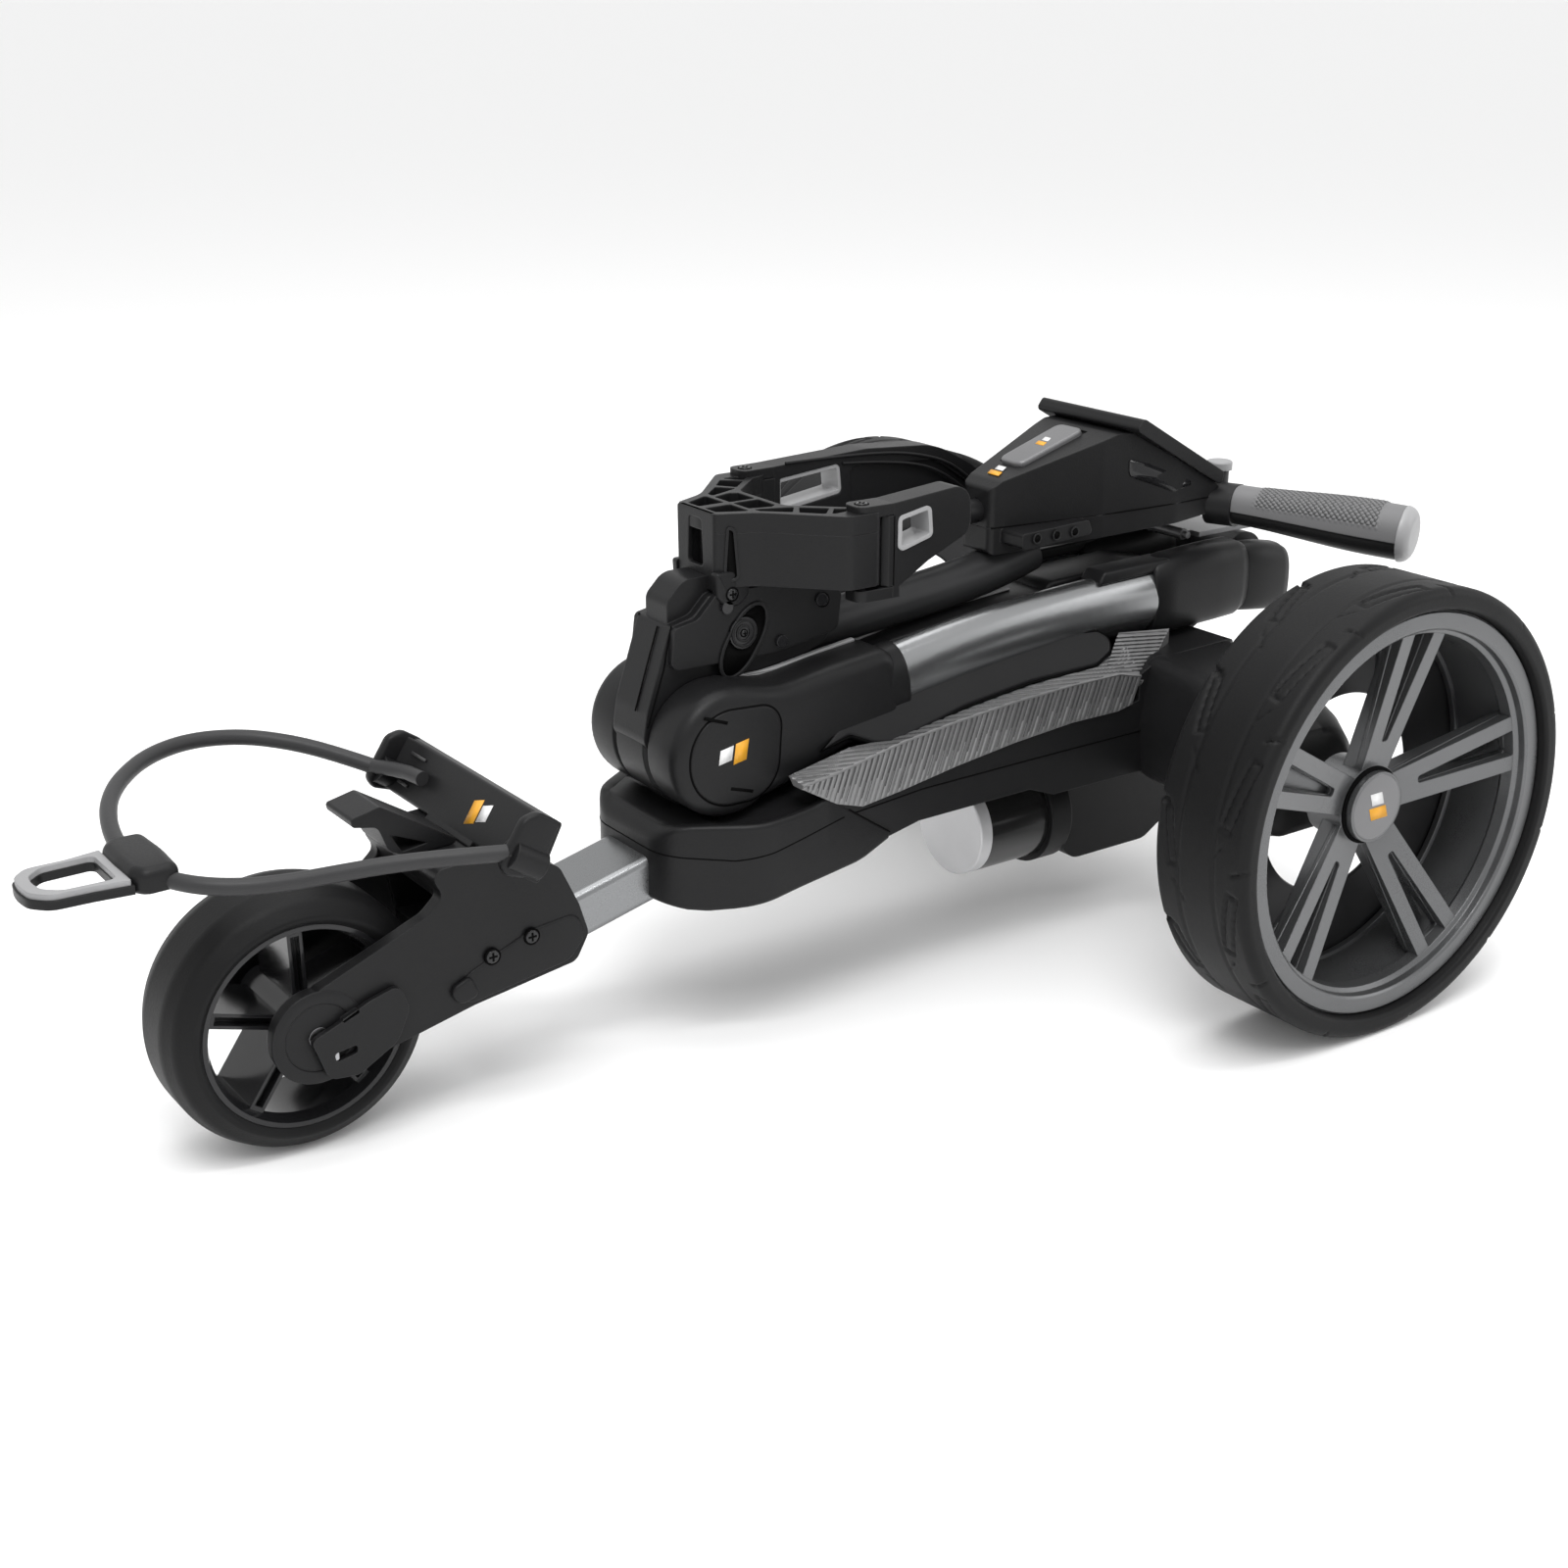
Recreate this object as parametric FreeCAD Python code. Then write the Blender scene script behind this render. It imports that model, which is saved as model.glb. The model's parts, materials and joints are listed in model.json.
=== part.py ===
import FreeCAD, Part
import math
import os

# Electric golf trolley, folded. Millimetres. +X forward, +Y the trolley's left, +Z up.
# The origin is on the ground, under the middle of the whole object.

V = FreeCAD.Vector

# ---- driving dimensions ----
REAR_X, REAR_Z, REAR_R = -276.0, 145.0, 145.0      # rear wheels
REAR_Y_IN, REAR_Y_OUT = 209.0, 282.0
RIM_R, HUB_R, HUB_FACE_Y = 130.0, 26.0, 250.0
AXLE_R = 8.0
FRONT_X, FRONT_R, FRONT_HALF = 342.0, 79.0, 33.0   # front wheel
FRONT_RIM_R = 61.0
FRONT_AXLE_R = 6.0
LOW_HINGE = (-398.0, 236.0)                        # arms to chassis: x, z
TOP_HINGE = (69.0, 191.0)                          # upper frame to arms: x, z
BOSS_R = 41.0
PIN_R = 9.0
ARM_Y = 36.0                                       # the two arm tubes
ARM_HALF_Z, ARM_HALF_Y, ARM_WALL = 22.5, 15.0, 2.0
ARM_LINE = [(-50, 209), (-131, 221), (-200, 226.5), (-300, 229)]
BODY_Y = 74.0                                      # half width of the chassis body
WALL = 3.0
MOTOR_Z, MOTOR_R = 79.4, 34.0
MOTOR_X0, MOTOR_X1 = -214.0, -145.0
WHEEL_TEETH, MODULE = 36, 2.5                      # worm drive
WORM_X = REAR_X
STRAP_R = 4.9
BAR_X, BAR_Z, GRIP_R = -348.0, 289.0, 19.5         # handle bar: middle of its straight part
SWEEP, DROP = 24.0, 3.0                            # the grips lean back and down, degrees
GRIP_START, GRIP_LENGTH = 52.0, 118.0
LEVER_X, LEVER_Z = -332.0, 264.0                   # rear release lever pivot
PIVOT_X, PIVOT_Y = -18.0, 62.0                     # bag arm pivots
ARM_TOP, ARM_LOW = 335.0, 276.5                    # bag arm ears: z
STEM_LINE = [(4, 239), (-84, 247.5), (-150, 254.5), (-206, 267)]
STEM_R = 15.0
BAR_R = 12.0
DIAL_X, DIAL_Y, DIAL_Z, DIAL_R = -354.0, 30.0, 309.0, 9.0


# ---- shape helpers ----
def box(x0, x1, y0, y1, z0, z1):
    return Part.makeBox(x1 - x0, y1 - y0, z1 - z0, V(x0, y0, z0))


def rod(start, axis, radius, length):
    return Part.makeCylinder(radius, length, V(*start), V(*axis))


def rod_y(x, z, radius, y0, y1):
    return rod((x, y0, z), (0, 1, 0), radius, y1 - y0)


def rod_x(y, z, radius, x0, x1):
    return rod((x0, y, z), (1, 0, 0), radius, x1 - x0)


def rod_z(x, y, radius, z0, z1):
    return rod((x, y, z0), (0, 0, 1), radius, z1 - z0)


def ring_y(x, z, outer, inner, y0, y1):
    return rod_y(x, z, outer, y0, y1).cut(rod_y(x, z, inner, y0 - 1, y1 + 1))


def rounded_wire(points, radius):
    """A closed wire through the points, with each corner rounded."""
    count = len(points)
    edges, ends = [], []
    for i in range(count):
        before, corner, after = points[i - 1], points[i], points[(i + 1) % count]
        a = (before - corner)
        b = (after - corner)
        angle = a.getAngle(b)
        size = radius[i] if isinstance(radius, list) else radius
        if size <= 0 or angle > math.pi - 0.02:
            ends.append((corner, corner, None))
            continue
        back = min(size / math.tan(angle / 2), 0.48 * a.Length, 0.48 * b.Length)
        size = back * math.tan(angle / 2)
        a.normalize()
        b.normalize()
        middle = (a + b).normalize()
        to_centre = size / math.sin(angle / 2)
        top = corner + middle * (to_centre - size)
        ends.append((corner + a * back, corner + b * back, top))
    for i in range(count):
        start, finish, top = ends[i]
        if top is not None:
            edges.append(Part.Arc(start, top, finish).toShape())
        following = ends[(i + 1) % count][0]
        if (following - finish).Length > 1e-6:
            edges.append(Part.LineSegment(finish, following).toShape())
    return Part.Wire(edges)


def plate_y(points, y0, y1, radius=0):
    """An XZ outline, extruded along Y."""
    wire = rounded_wire([V(x, y0, z) for x, z in points], radius)
    return Part.Face(wire).extrude(V(0, y1 - y0, 0))


def plate_z(points, z0, z1, radius=0):
    wire = rounded_wire([V(x, y, z0) for x, y in points], radius)
    return Part.Face(wire).extrude(V(0, 0, z1 - z0))


def plate_x(points, x0, x1, radius=0):
    wire = rounded_wire([V(x0, y, z) for y, z in points], radius)
    return Part.Face(wire).extrude(V(x1 - x0, 0, 0))


def turned(profile, x, z, radius=0):
    """A (radius, y) outline turned about the Y-parallel axis through x, z."""
    wire = rounded_wire([V(x + r, y, z) for r, y in profile], radius)
    return Part.Face(wire).revolve(V(x, 0, z), V(0, 1, 0), 360)


def mirrored(shape):
    return shape.mirror(V(0, 0, 0), V(0, 1, 0))


def both(shape):
    return [shape, mirrored(shape)]


def fuse(shapes):
    result = shapes[0]
    for shape in shapes[1:]:
        result = result.fuse(shape)
    return result.removeSplitter()


def cut(shape, tools):
    for tool in tools:
        shape = shape.cut(tool)
    return shape


def oval_tube(line, y, half_z, half_y, grow=0.0):
    """An oval bar along a smooth XZ line, at one y."""
    curve = Part.BSplineCurve()
    curve.interpolate([V(x, y, z) for x, z in line])
    spine = Part.Wire([curve.toShape()])
    direction = curve.tangent(curve.FirstParameter)[0]
    ellipse = Part.Ellipse(V(0, 0, 0), half_z + grow, half_y + grow)
    edge = ellipse.toShape()
    side = V(0, 1, 0)
    up = direction.cross(side) * -1
    place = FreeCAD.Placement(V(line[0][0], y, line[0][1]), FreeCAD.Rotation(up, side, direction, "XYZ"))
    edge.Placement = place
    return spine.makePipeShell([Part.Wire([edge])], True, False)


def turned_about(shape, point, axis, degrees):
    copy = shape.copy()
    copy.rotate(V(*point), V(*axis), degrees)
    return copy


def soften(shape, radius, choose):
    """Rounds the chosen edges, or leaves the shape if they cannot be rounded."""
    edges = [edge for edge in shape.Edges if choose(edge)]
    try:
        rounded = shape.makeFillet(radius, edges)
        return rounded if rounded.isValid() and rounded.Volume > 0 else shape
    except Exception:
        return shape


def save(name, *shapes):
    solids = [solid for shape in shapes for solid in shape.Solids]
    keep = solids[0] if len(solids) == 1 else Part.makeCompound(solids)
    bounds = keep.BoundBox
    good = keep.isValid()
    print(f"{name:24s} solids {len(solids):2d} valid {good} volume {keep.Volume / 1000:8.1f} cm3  "
          f"x {bounds.XMin:.0f}..{bounds.XMax:.0f} y {bounds.YMin:.0f}..{bounds.YMax:.0f} "
          f"z {bounds.ZMin:.0f}..{bounds.ZMax:.0f}")
    keep.exportStep(f"parts/{name}.step")


# ---- rear wheels and drive ----
def rear_wheel():
    """The left wheel: tyre, rim with five twin spokes, hub cap."""
    x, z, r = REAR_X, REAR_Z, REAR_R
    y0, y1 = REAR_Y_IN, REAR_Y_OUT
    tyre = turned([(RIM_R, y0 + 4), (RIM_R + 6, y0), (r, y0), (r, y1), (RIM_R + 2, y1), (RIM_R, y1 - 6)],
                  x, z, [1, 3, 12, 20, 3, 2])
    for y in (y0 + 20, y0 + 50):
        tyre = tyre.cut(turned([(r - 2, y), (r + 1, y), (r + 1, y + 3), (r - 2, y + 3)], x, z))
    barrel = turned([(RIM_R, y0 + 4), (RIM_R, y1 - 7), (RIM_R - 8, y1 - 7), (RIM_R - 8, y1 - 16),
                     (RIM_R - 14, y1 - 20), (RIM_R - 14, y0 + 10), (RIM_R - 9, y0 + 4)], x, z)
    hub = ring_y(x, z, HUB_R, AXLE_R + 0.05, y0 + 13, HUB_FACE_Y)
    dish = turned([(HUB_R - 4, HUB_FACE_Y - 16), (HUB_R - 4, HUB_FACE_Y - 1), (RIM_R - 12, y1 - 12),
                   (RIM_R - 12, y1 - 24)], x, z)
    one_spoke = [(HUB_R - 6, -12), (RIM_R - 10, -20), (RIM_R - 10, 20), (HUB_R - 6, 12)]
    pocket = [(HUB_R + 16, -2.5), (RIM_R - 15, -9), (RIM_R - 15, 9), (HUB_R + 16, 2.5)]
    spokes = []
    for k in range(5):
        angle = 24 + 72 * k
        spoke = plate_y([(x + a, z + b) for a, b in one_spoke], y0, y1)
        spoke = spoke.cut(plate_y([(x + a, z + b) for a, b in pocket], y0 - 1, y1 + 1, 2))
        spokes.append(turned_about(spoke.common(dish), (x, 0, z), (0, -1, 0), angle))
    rim = fuse([barrel, hub] + spokes)
    cap_wall = ring_y(x, z, HUB_R - 3, HUB_R - 6, HUB_FACE_Y, HUB_FACE_Y + 3)
    cap = cap_wall.fuse(rod_y(x, z, HUB_R - 3, HUB_FACE_Y + 3, HUB_FACE_Y + 6))
    return tyre, rim, cap


def gear_tooth(radius_out, radius_root, half_out, half_root, x, z, y0, y1):
    points = [(x + radius_root - 1, z - half_root), (x + radius_out, z - half_out),
              (x + radius_out, z + half_out), (x + radius_root - 1, z + half_root)]
    return plate_y(points, y0, y1)


def worm_drive():
    """The worm wheel on the axle, and the worm below it on the motor shaft."""
    pitch_r = WHEEL_TEETH * MODULE / 2
    out_r, root_r = pitch_r + 1.6, pitch_r - 3.4
    x, z = REAR_X, REAR_Z
    wheel = ring_y(x, z, root_r, AXLE_R, -7, 7)
    teeth = []
    for k in range(WHEEL_TEETH):
        tooth = gear_tooth(out_r, root_r, 0.7, 1.7, x, z, -6, 6)
        teeth.append(turned_about(tooth, (x, 0, z), (0, 1, 0), 90 + 360.0 / WHEEL_TEETH * (k + 0.5)))
    wheel = wheel.multiFuse(teeth)
    worm_r = (REAR_Z - MOTOR_Z) - pitch_r
    lead = math.pi * MODULE
    core_r, thread_r = worm_r - 3.2, worm_r + 1.6
    length = 5 * lead
    start_x = WORM_X - length / 2
    core = rod_x(0, MOTOR_Z, core_r, start_x - 4, start_x + length + 8)
    helix = Part.makeHelix(lead, length, core_r)
    helix.Placement = FreeCAD.Placement(V(start_x, 0, MOTOR_Z), FreeCAD.Rotation(V(0, 0, 1), V(1, 0, 0)))
    first = helix.Edges[0].Vertexes[0].Point
    radial = (first - V(start_x, 0, MOTOR_Z)).normalize()
    profile = [V(first.x - 1.6, first.y, first.z) - radial * 0.6,
               V(first.x - 0.7, first.y, first.z) + radial * (thread_r - core_r),
               V(first.x + 0.7, first.y, first.z) + radial * (thread_r - core_r),
               V(first.x + 1.6, first.y, first.z) - radial * 0.6]
    section = Part.Wire(Part.makePolygon(profile + profile[:1]).Edges)
    thread = Part.Wire(helix.Edges).makePipeShell([section], True, True)
    worm = core.fuse(thread)
    return wheel, worm


# ---- chassis ----
BODY_SIDE = [(113, 100), (113, 140), (106, 149), (60, 150), (23, 154), (-14, 168), (-60, 180),
             (-117, 187), (-225, 191), (-270, 199), (-335, 201), (-338, 140), (-330, 120), (-172, 120),
             (-151, 128), (-58, 127), (-34, 122), (-14, 112), (34, 105), (63, 100), (91, 96)]
BODY_PLAN = [(113, -40), (113, 40), (62, BODY_Y), (-338, BODY_Y), (-338, -BODY_Y), (62, -BODY_Y)]
SEAM = [(130, 60), (130, 133), (76, 128), (33, 136), (3, 143), (-60, 148), (-345, 150), (-345, 60)]
TUBE_SLOPE, TUBE_HALF_Y, TUBE_HALF_Z, TUBE_WALL = 14.0, 25.0, 15.0, 2.5
TUBE_START, TUBE_LENGTH = (50.0, 126.0), 198.0
BAY = (-222, -14)                                  # battery bay along X
BATTERY_TOP = [(-14, 166), (-56, 181), (-131, 193), (-200, 199), (-222, 200)]
TRIM = [                                           # x, inner top, ridge, lower edge
    (34, 173, 171, 168), (8, 178, 174, 153), (-12, 182, 178, 147), (-43, 181, 184, 151),
    (-87, 187, 189, 158), (-135, 193, 193, 164), (-185, 198, 195, 168), (-226, 202, 195, 168),
    (-246, 207, 190, 172)]


def body_solid(inset):
    side = rounded_wire([V(x, 0, z) for x, z in BODY_SIDE], 6)
    plan = rounded_wire([V(x, y, 0) for x, y in BODY_PLAN], [30, 30, 40, 8, 8, 40])
    if inset:
        side, plan = side.makeOffset2D(-inset), plan.makeOffset2D(-inset)
    tall = Part.Face(side).extrude(V(0, 200, 0))
    tall.translate(V(0, -100, 0))
    wide = Part.Face(plan).extrude(V(0, 0, 400))
    hollow = rod_y(*TOP_HINGE, BOSS_R + 3 + inset, -56 - inset, 56 + inset)
    return tall.common(wide).cut(hollow)


def front_tube(grow, wall):
    y, z = TUBE_HALF_Y + grow, TUBE_HALF_Z + grow
    x0, z0 = TUBE_START
    wire = rounded_wire([V(0, -y, -z), V(0, y, -z), V(0, y, z), V(0, -y, z)], 5 + grow)
    tube = Part.Face(wire).extrude(V(TUBE_LENGTH, 0, 0))
    if wall:
        y, z = y - wall, z - wall
        inner = rounded_wire([V(0, -y, -z), V(0, y, -z), V(0, y, z), V(0, -y, z)], 3)
        tube = tube.cut(Part.Face(inner).extrude(V(TUBE_LENGTH, 0, 0)))
    tube.rotate(V(0, 0, 0), V(0, 1, 0), TUBE_SLOPE)
    tube.translate(V(x0, 0, z0))
    return tube


def side_trim():
    """The long ribbed cover on the left flank, with its ridge."""
    sections = []
    for x, top, ridge, low in TRIM:
        ring = [V(x, 60, top), V(x, 76, ridge), V(x, 75.5, low), V(x, 66, low), V(x, 62, low + 4)]
        sections.append(Part.makePolygon(ring + ring[:1]))
    bar = Part.makeLoft(sections, True, True)
    fin = plate_y([(-226, 199), (-246, 190), (-285, 208), (-268, 226), (-246, 218)], 66, 75.5, 3)
    return fuse([bar, fin])


def gearbox_outline(inset):
    points = [(-222, 46), (-300, 46), (-326, 62), (-331, 150), (-322, 192), (-226, 192), (-221, 110)]
    wire = rounded_wire([V(x, 0, z) for x, z in points], 16)
    return wire.makeOffset2D(-inset) if inset else wire


def gearbox():
    half = 32
    outer = Part.Face(gearbox_outline(0)).extrude(V(0, 2 * half, 0))
    inner = Part.Face(gearbox_outline(WALL)).extrude(V(0, 2 * half - 2 * WALL, 0))
    outer.translate(V(0, -half, 0))
    inner.translate(V(0, -half + WALL, 0))
    shell = outer.cut(inner)
    shell = shell.fuse(rod_x(0, MOTOR_Z, MOTOR_R + 5, -240, MOTOR_X0).common(outer))
    collar = rod_x(0, MOTOR_Z, MOTOR_R + 4, MOTOR_X0 - 10, MOTOR_X0 + 8)
    shell = shell.fuse(collar.cut(rod_x(0, MOTOR_Z, MOTOR_R, MOTOR_X0, MOTOR_X0 + 9)))
    shell = shell.cut(rod_x(0, MOTOR_Z, 21, -243, MOTOR_X0 - 4))
    shell = shell.cut(rod_x(0, MOTOR_Z, 8, MOTOR_X0 - 5, MOTOR_X0 + 1))
    shell = shell.cut(rod_y(REAR_X, REAR_Z, 13, -half - 1, half + 1))
    wheel_r = WHEEL_TEETH * MODULE / 2
    shell = shell.cut(rod_y(REAR_X, REAR_Z, wheel_r + 3.5, -10, 10))
    return shell, outer.fuse(collar)


def chassis():
    shell = body_solid(0).cut(body_solid(WALL))
    gear_shell, gear_space = gearbox()
    trims = both(side_trim())
    low_side = plate_y(SEAM, -90, 90)
    bay = plate_y([(BAY[0] - 0.5, 124), (BAY[1] + 0.5, 124), (BAY[1] + 0.5, 230), (BAY[0] - 0.5, 230)],
                  -57, 57)
    axle_way = rod_y(REAR_X, REAR_Z, 17.2, -90, 90)
    motor_way = rod_x(0, MOTOR_Z, MOTOR_R + 6, -225, MOTOR_X1 + 40)
    lug_way = box(-340, -332, -17.6, 17.6, 178, 260)
    gear_way = gear_space.copy()
    gear_way.scale(1.012, V(REAR_X, 0, 120))
    tools = [gear_way, front_tube(0.2, 0), axle_way, motor_way, lug_way] + trims
    lower = cut(shell.common(low_side), tools)
    upper = cut(shell.cut(low_side), tools + [bay])
    floor = box(BAY[0] + 4, BAY[1] - 20, -56, 56, 129, 131)
    lower = lower.fuse(floor.common(body_solid(0)))
    ribs = []
    for x in (66, 104):
        rib = box(x, x + 3, -60, 60, 90, 150).common(body_solid(WALL - 0.5)).common(low_side)
        ribs.append(rib.cut(front_tube(0.2, 0)))
    lower = fuse([lower] + ribs)
    lower = max(lower.Solids, key=lambda solid: solid.Volume)
    upper = max(upper.Solids, key=lambda solid: solid.Volume)
    save("chassis_lower_shell", lower)
    save("chassis_upper_shell", upper)
    save("side_trims", *trims)
    right = gear_shell.common(box(-400, 0, -60, -0, 0, 300))
    left = gear_shell.common(box(-400, 0, 0, 60, 0, 300))
    save("gearbox_left_shell", left)
    save("gearbox_right_shell", right)
    save("front_tube", front_tube(0, TUBE_WALL))


def battery():
    outline = BATTERY_TOP + [(BAY[0], 132), (BAY[1], 132)]
    case = plate_y(outline, -56, 56, [3, 8, 8, 8, 3, 3, 3])
    case = soften(case, 4, lambda edge: abs(abs(edge.CenterOfMass.y) - 56) < 0.1)
    hollow = plate_y([(BAY[1] - 4, 136), (BAY[1] - 4, 160), (BAY[0] + 4, 160), (BAY[0] + 4, 136)], -52, 52)
    save("battery_case", case.cut(hollow))
    cells = []
    for row in range(2):
        for column in range(8):
            x = BAY[1] - 17 - 24.8 * column
            y = -26 + 52 * row
            cells.append(rod_y(x, 148, 11.5, y - 25.5, y + 25.5))
    save("battery_cells", *cells)
    save("controller_board", box(BAY[1] + 6, 42, -50, 50, 134, 136), box(20, 34, -12, 12, 136, 142))


def drive():
    wheel, worm = worm_drive()
    save("drive_axle", rod_y(REAR_X, REAR_Z, AXLE_R, -HUB_FACE_Y + 1, HUB_FACE_Y - 1))
    save("worm_wheel", wheel)
    shaft = rod_x(0, MOTOR_Z, 6, -318, -152)
    armature = rod_x(0, MOTOR_Z, 22, -205, -165)
    save("motor_rotor", fuse([worm, shaft, armature]))
    can = rod_x(0, MOTOR_Z, MOTOR_R, MOTOR_X0, MOTOR_X1 - 10)
    can = can.cut(rod_x(0, MOTOR_Z, MOTOR_R - 2.5, MOTOR_X0 + 3, MOTOR_X1))
    can = can.cut(rod_x(0, MOTOR_Z, 6.1, MOTOR_X0 - 1, MOTOR_X0 + 4))
    magnet_ring = rod_x(0, MOTOR_Z, MOTOR_R - 2.5, MOTOR_X0 + 8, MOTOR_X1 - 18)
    magnet_ring = magnet_ring.cut(rod_x(0, MOTOR_Z, 24, MOTOR_X0, MOTOR_X1))
    save("motor_can", can)
    magnets = magnet_ring.cut(box(-300, 0, -3, 3, 0, 200)).cut(box(-300, 0, -60, 60, 76.4, 82.4))
    save("motor_magnets", magnets)
    lid = rod_x(0, MOTOR_Z, MOTOR_R, MOTOR_X1 - 10, MOTOR_X1)
    lid = lid.cut(rod_x(0, MOTOR_Z, 6.1, MOTOR_X1 - 11, MOTOR_X1 - 6))
    lid = soften(lid, 1.5, lambda edge: abs(edge.CenterOfMass.x - MOTOR_X1) < 0.1)
    save("motor_end_cap", lid)
    inner_y, outer_y = 33.0, 200.0
    tube = ring_y(REAR_X, REAR_Z, 17, 13, inner_y, outer_y)
    flange = ring_y(REAR_X, REAR_Z, 24, 17, BODY_Y + 0.2, BODY_Y + 5)
    save("axle_housing", *both(tube.fuse(flange)))
    bearings = []
    for y in (inner_y + 1, outer_y - 10):
        bearings += both(ring_y(REAR_X, REAR_Z, 13, AXLE_R + 0.05, y, y + 9))
    save("axle_bearings", *bearings)
    tyre, rim, cap = rear_wheel()
    for side, shapes in (("left", (tyre, rim, cap)), ("right", [mirrored(s) for s in (tyre, rim, cap)])):
        save(side + "_tyre", shapes[0])
        save(side + "_rim", shapes[1])
        save(side + "_hub_cap", shapes[2])


# The rubber bag strap: from one end of the low bracket, forward round its hook, and back.
STRAP_ROUTE = [
    (239, 84, 178), (258, 80, 179.5), (279, 73, 180), (303, 67, 180.5), (330, 64, 181), (357, 63, 182),
    (381, 59, 183.5), (402, 48, 185.5), (416, 30, 187.5), (422, 7, 189.5), (422, -18, 192), (417, -45, 195),
    (407, -72, 198), (390, -98, 200), (366, -121, 201.5), (336, -134, 201), (305, -132, 198),
    (280, -119, 193), (258, -102, 186), (239, -84, 178)]


# ---- front fork and wheel ----
LEG_IN, LEG_OUT = 37.0, 46.0
LEG = [(333, 53), (358, 100), (273, 134), (262, 144), (270, 160), (216, 162), (187, 144), (175, 118),
       (169, 98), (178, 82), (246, 72), (282, 64)]
CROWN = [(270, 160), (216, 162), (187, 144), (175, 118), (169, 98), (178, 82), (246, 72), (254, 100),
         (262, 144)]
CROWN_RADII = [6, 10, 10, 10, 8, 8, 10, 10, 6]
BRACKET_TOP, BRACKET_LOW = (207, 190), (226, 157)
BRACKET_HALF = 88.0


def front_wheel():
    x, z, half = FRONT_X, FRONT_R, FRONT_HALF
    tyre = turned([(FRONT_RIM_R, -half + 3), (FRONT_RIM_R + 4, -half), (z - 4, -half + 8), (z, -13), (z, 13),
                   (z - 4, half - 8), (FRONT_RIM_R + 4, half), (FRONT_RIM_R, half - 3)],
                  x, z, [1, 4, 10, 14, 14, 10, 4, 1])
    barrel = turned([(FRONT_RIM_R, -30), (FRONT_RIM_R, 30), (FRONT_RIM_R - 3, 30), (FRONT_RIM_R - 6, 22),
                     (FRONT_RIM_R - 6, -22), (FRONT_RIM_R - 3, -30)], x, z)
    hub = ring_y(x, z, 16, 11, -31, 31)
    parts = [barrel, hub]
    for k in range(5):
        spoke = box(x + 13, x + FRONT_RIM_R - 5, -24, 24, z - 4.5, z + 4.5)
        spoke = spoke.cut(box(x + 17, x + FRONT_RIM_R - 8, -30, -17, z - 2.5, z + 2.5))
        spoke = spoke.cut(box(x + 17, x + FRONT_RIM_R - 8, 17, 30, z - 2.5, z + 2.5))
        parts.append(turned_about(spoke, (x, 0, z), (0, -1, 0), 17 + 72 * k))
    save("front_tyre", tyre)
    save("front_rim", fuse(parts))
    save("front_bearings", *both(ring_y(x, z, 11, FRONT_AXLE_R + 0.05, 22, 31)))


def fork():
    x, z = FRONT_X, FRONT_R
    leg = plate_y(LEG, LEG_IN, LEG_OUT, [6, 20, 14, 6, 6, 10, 10, 10, 8, 8, 14, 20])
    leg = leg.fuse(rod_y(x, z, 27, LEG_IN, LEG_OUT)).removeSplitter()
    leg = leg.cut(rod_y(x, z, FRONT_AXLE_R, LEG_IN - 1, LEG_OUT + 1))
    crown = plate_y(CROWN, -LEG_IN, LEG_IN, CROWN_RADII)
    crown = crown.cut(plate_y([(258, 106), (262, 140), (238, 150), (228, 150), (232, 106)], -34, 34, 4))
    body = fuse([crown] + both(leg)).cut(front_tube(0, 0))
    body = body.cut(rod_y(195, 93.5, 2.5, 20, 50)).cut(rod_y(195, 93.5, 2.5, -50, -20))
    body = body.cut(rod_y(225, 86, 2.5, 20, 50)).cut(rod_y(225, 86, 2.5, -50, -20))
    save("fork_body", body)
    screws = []
    for sx, sz in ((195, 93.5), (225, 86)):
        screws += both(rod_y(sx, sz, 2.5, 27.6, 46).fuse(rod_y(sx, sz, 5, 46, 48.5)))
    save("fork_screws", *screws)
    save("front_axle", rod_y(x, z, FRONT_AXLE_R, -LEG_OUT, LEG_OUT))
    cover = plate_y([(352, 68), (340, 96), (296, 100), (288, 88), (322, 58)], LEG_OUT, LEG_OUT + 4,
                    [18, 18, 6, 8, 14])
    cover = cover.cut(plate_y([(352, 84), (330, 92), (328, 87), (350, 79)], LEG_OUT + 1.5, LEG_OUT + 5, 2))
    save("fork_covers", *both(cover))
    foot = plate_y([(302, 190), (284, 194), (234, 162), (268, 160.5), (280, 166), (286, 182), (301, 185)],
                   -17, 17, [2, 3, 2, 2, 8, 6, 2])
    save("bag_foot", foot.cut(plate_y([(272, 164), (279, 176), (256, 166)], -20, 20)))


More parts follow.
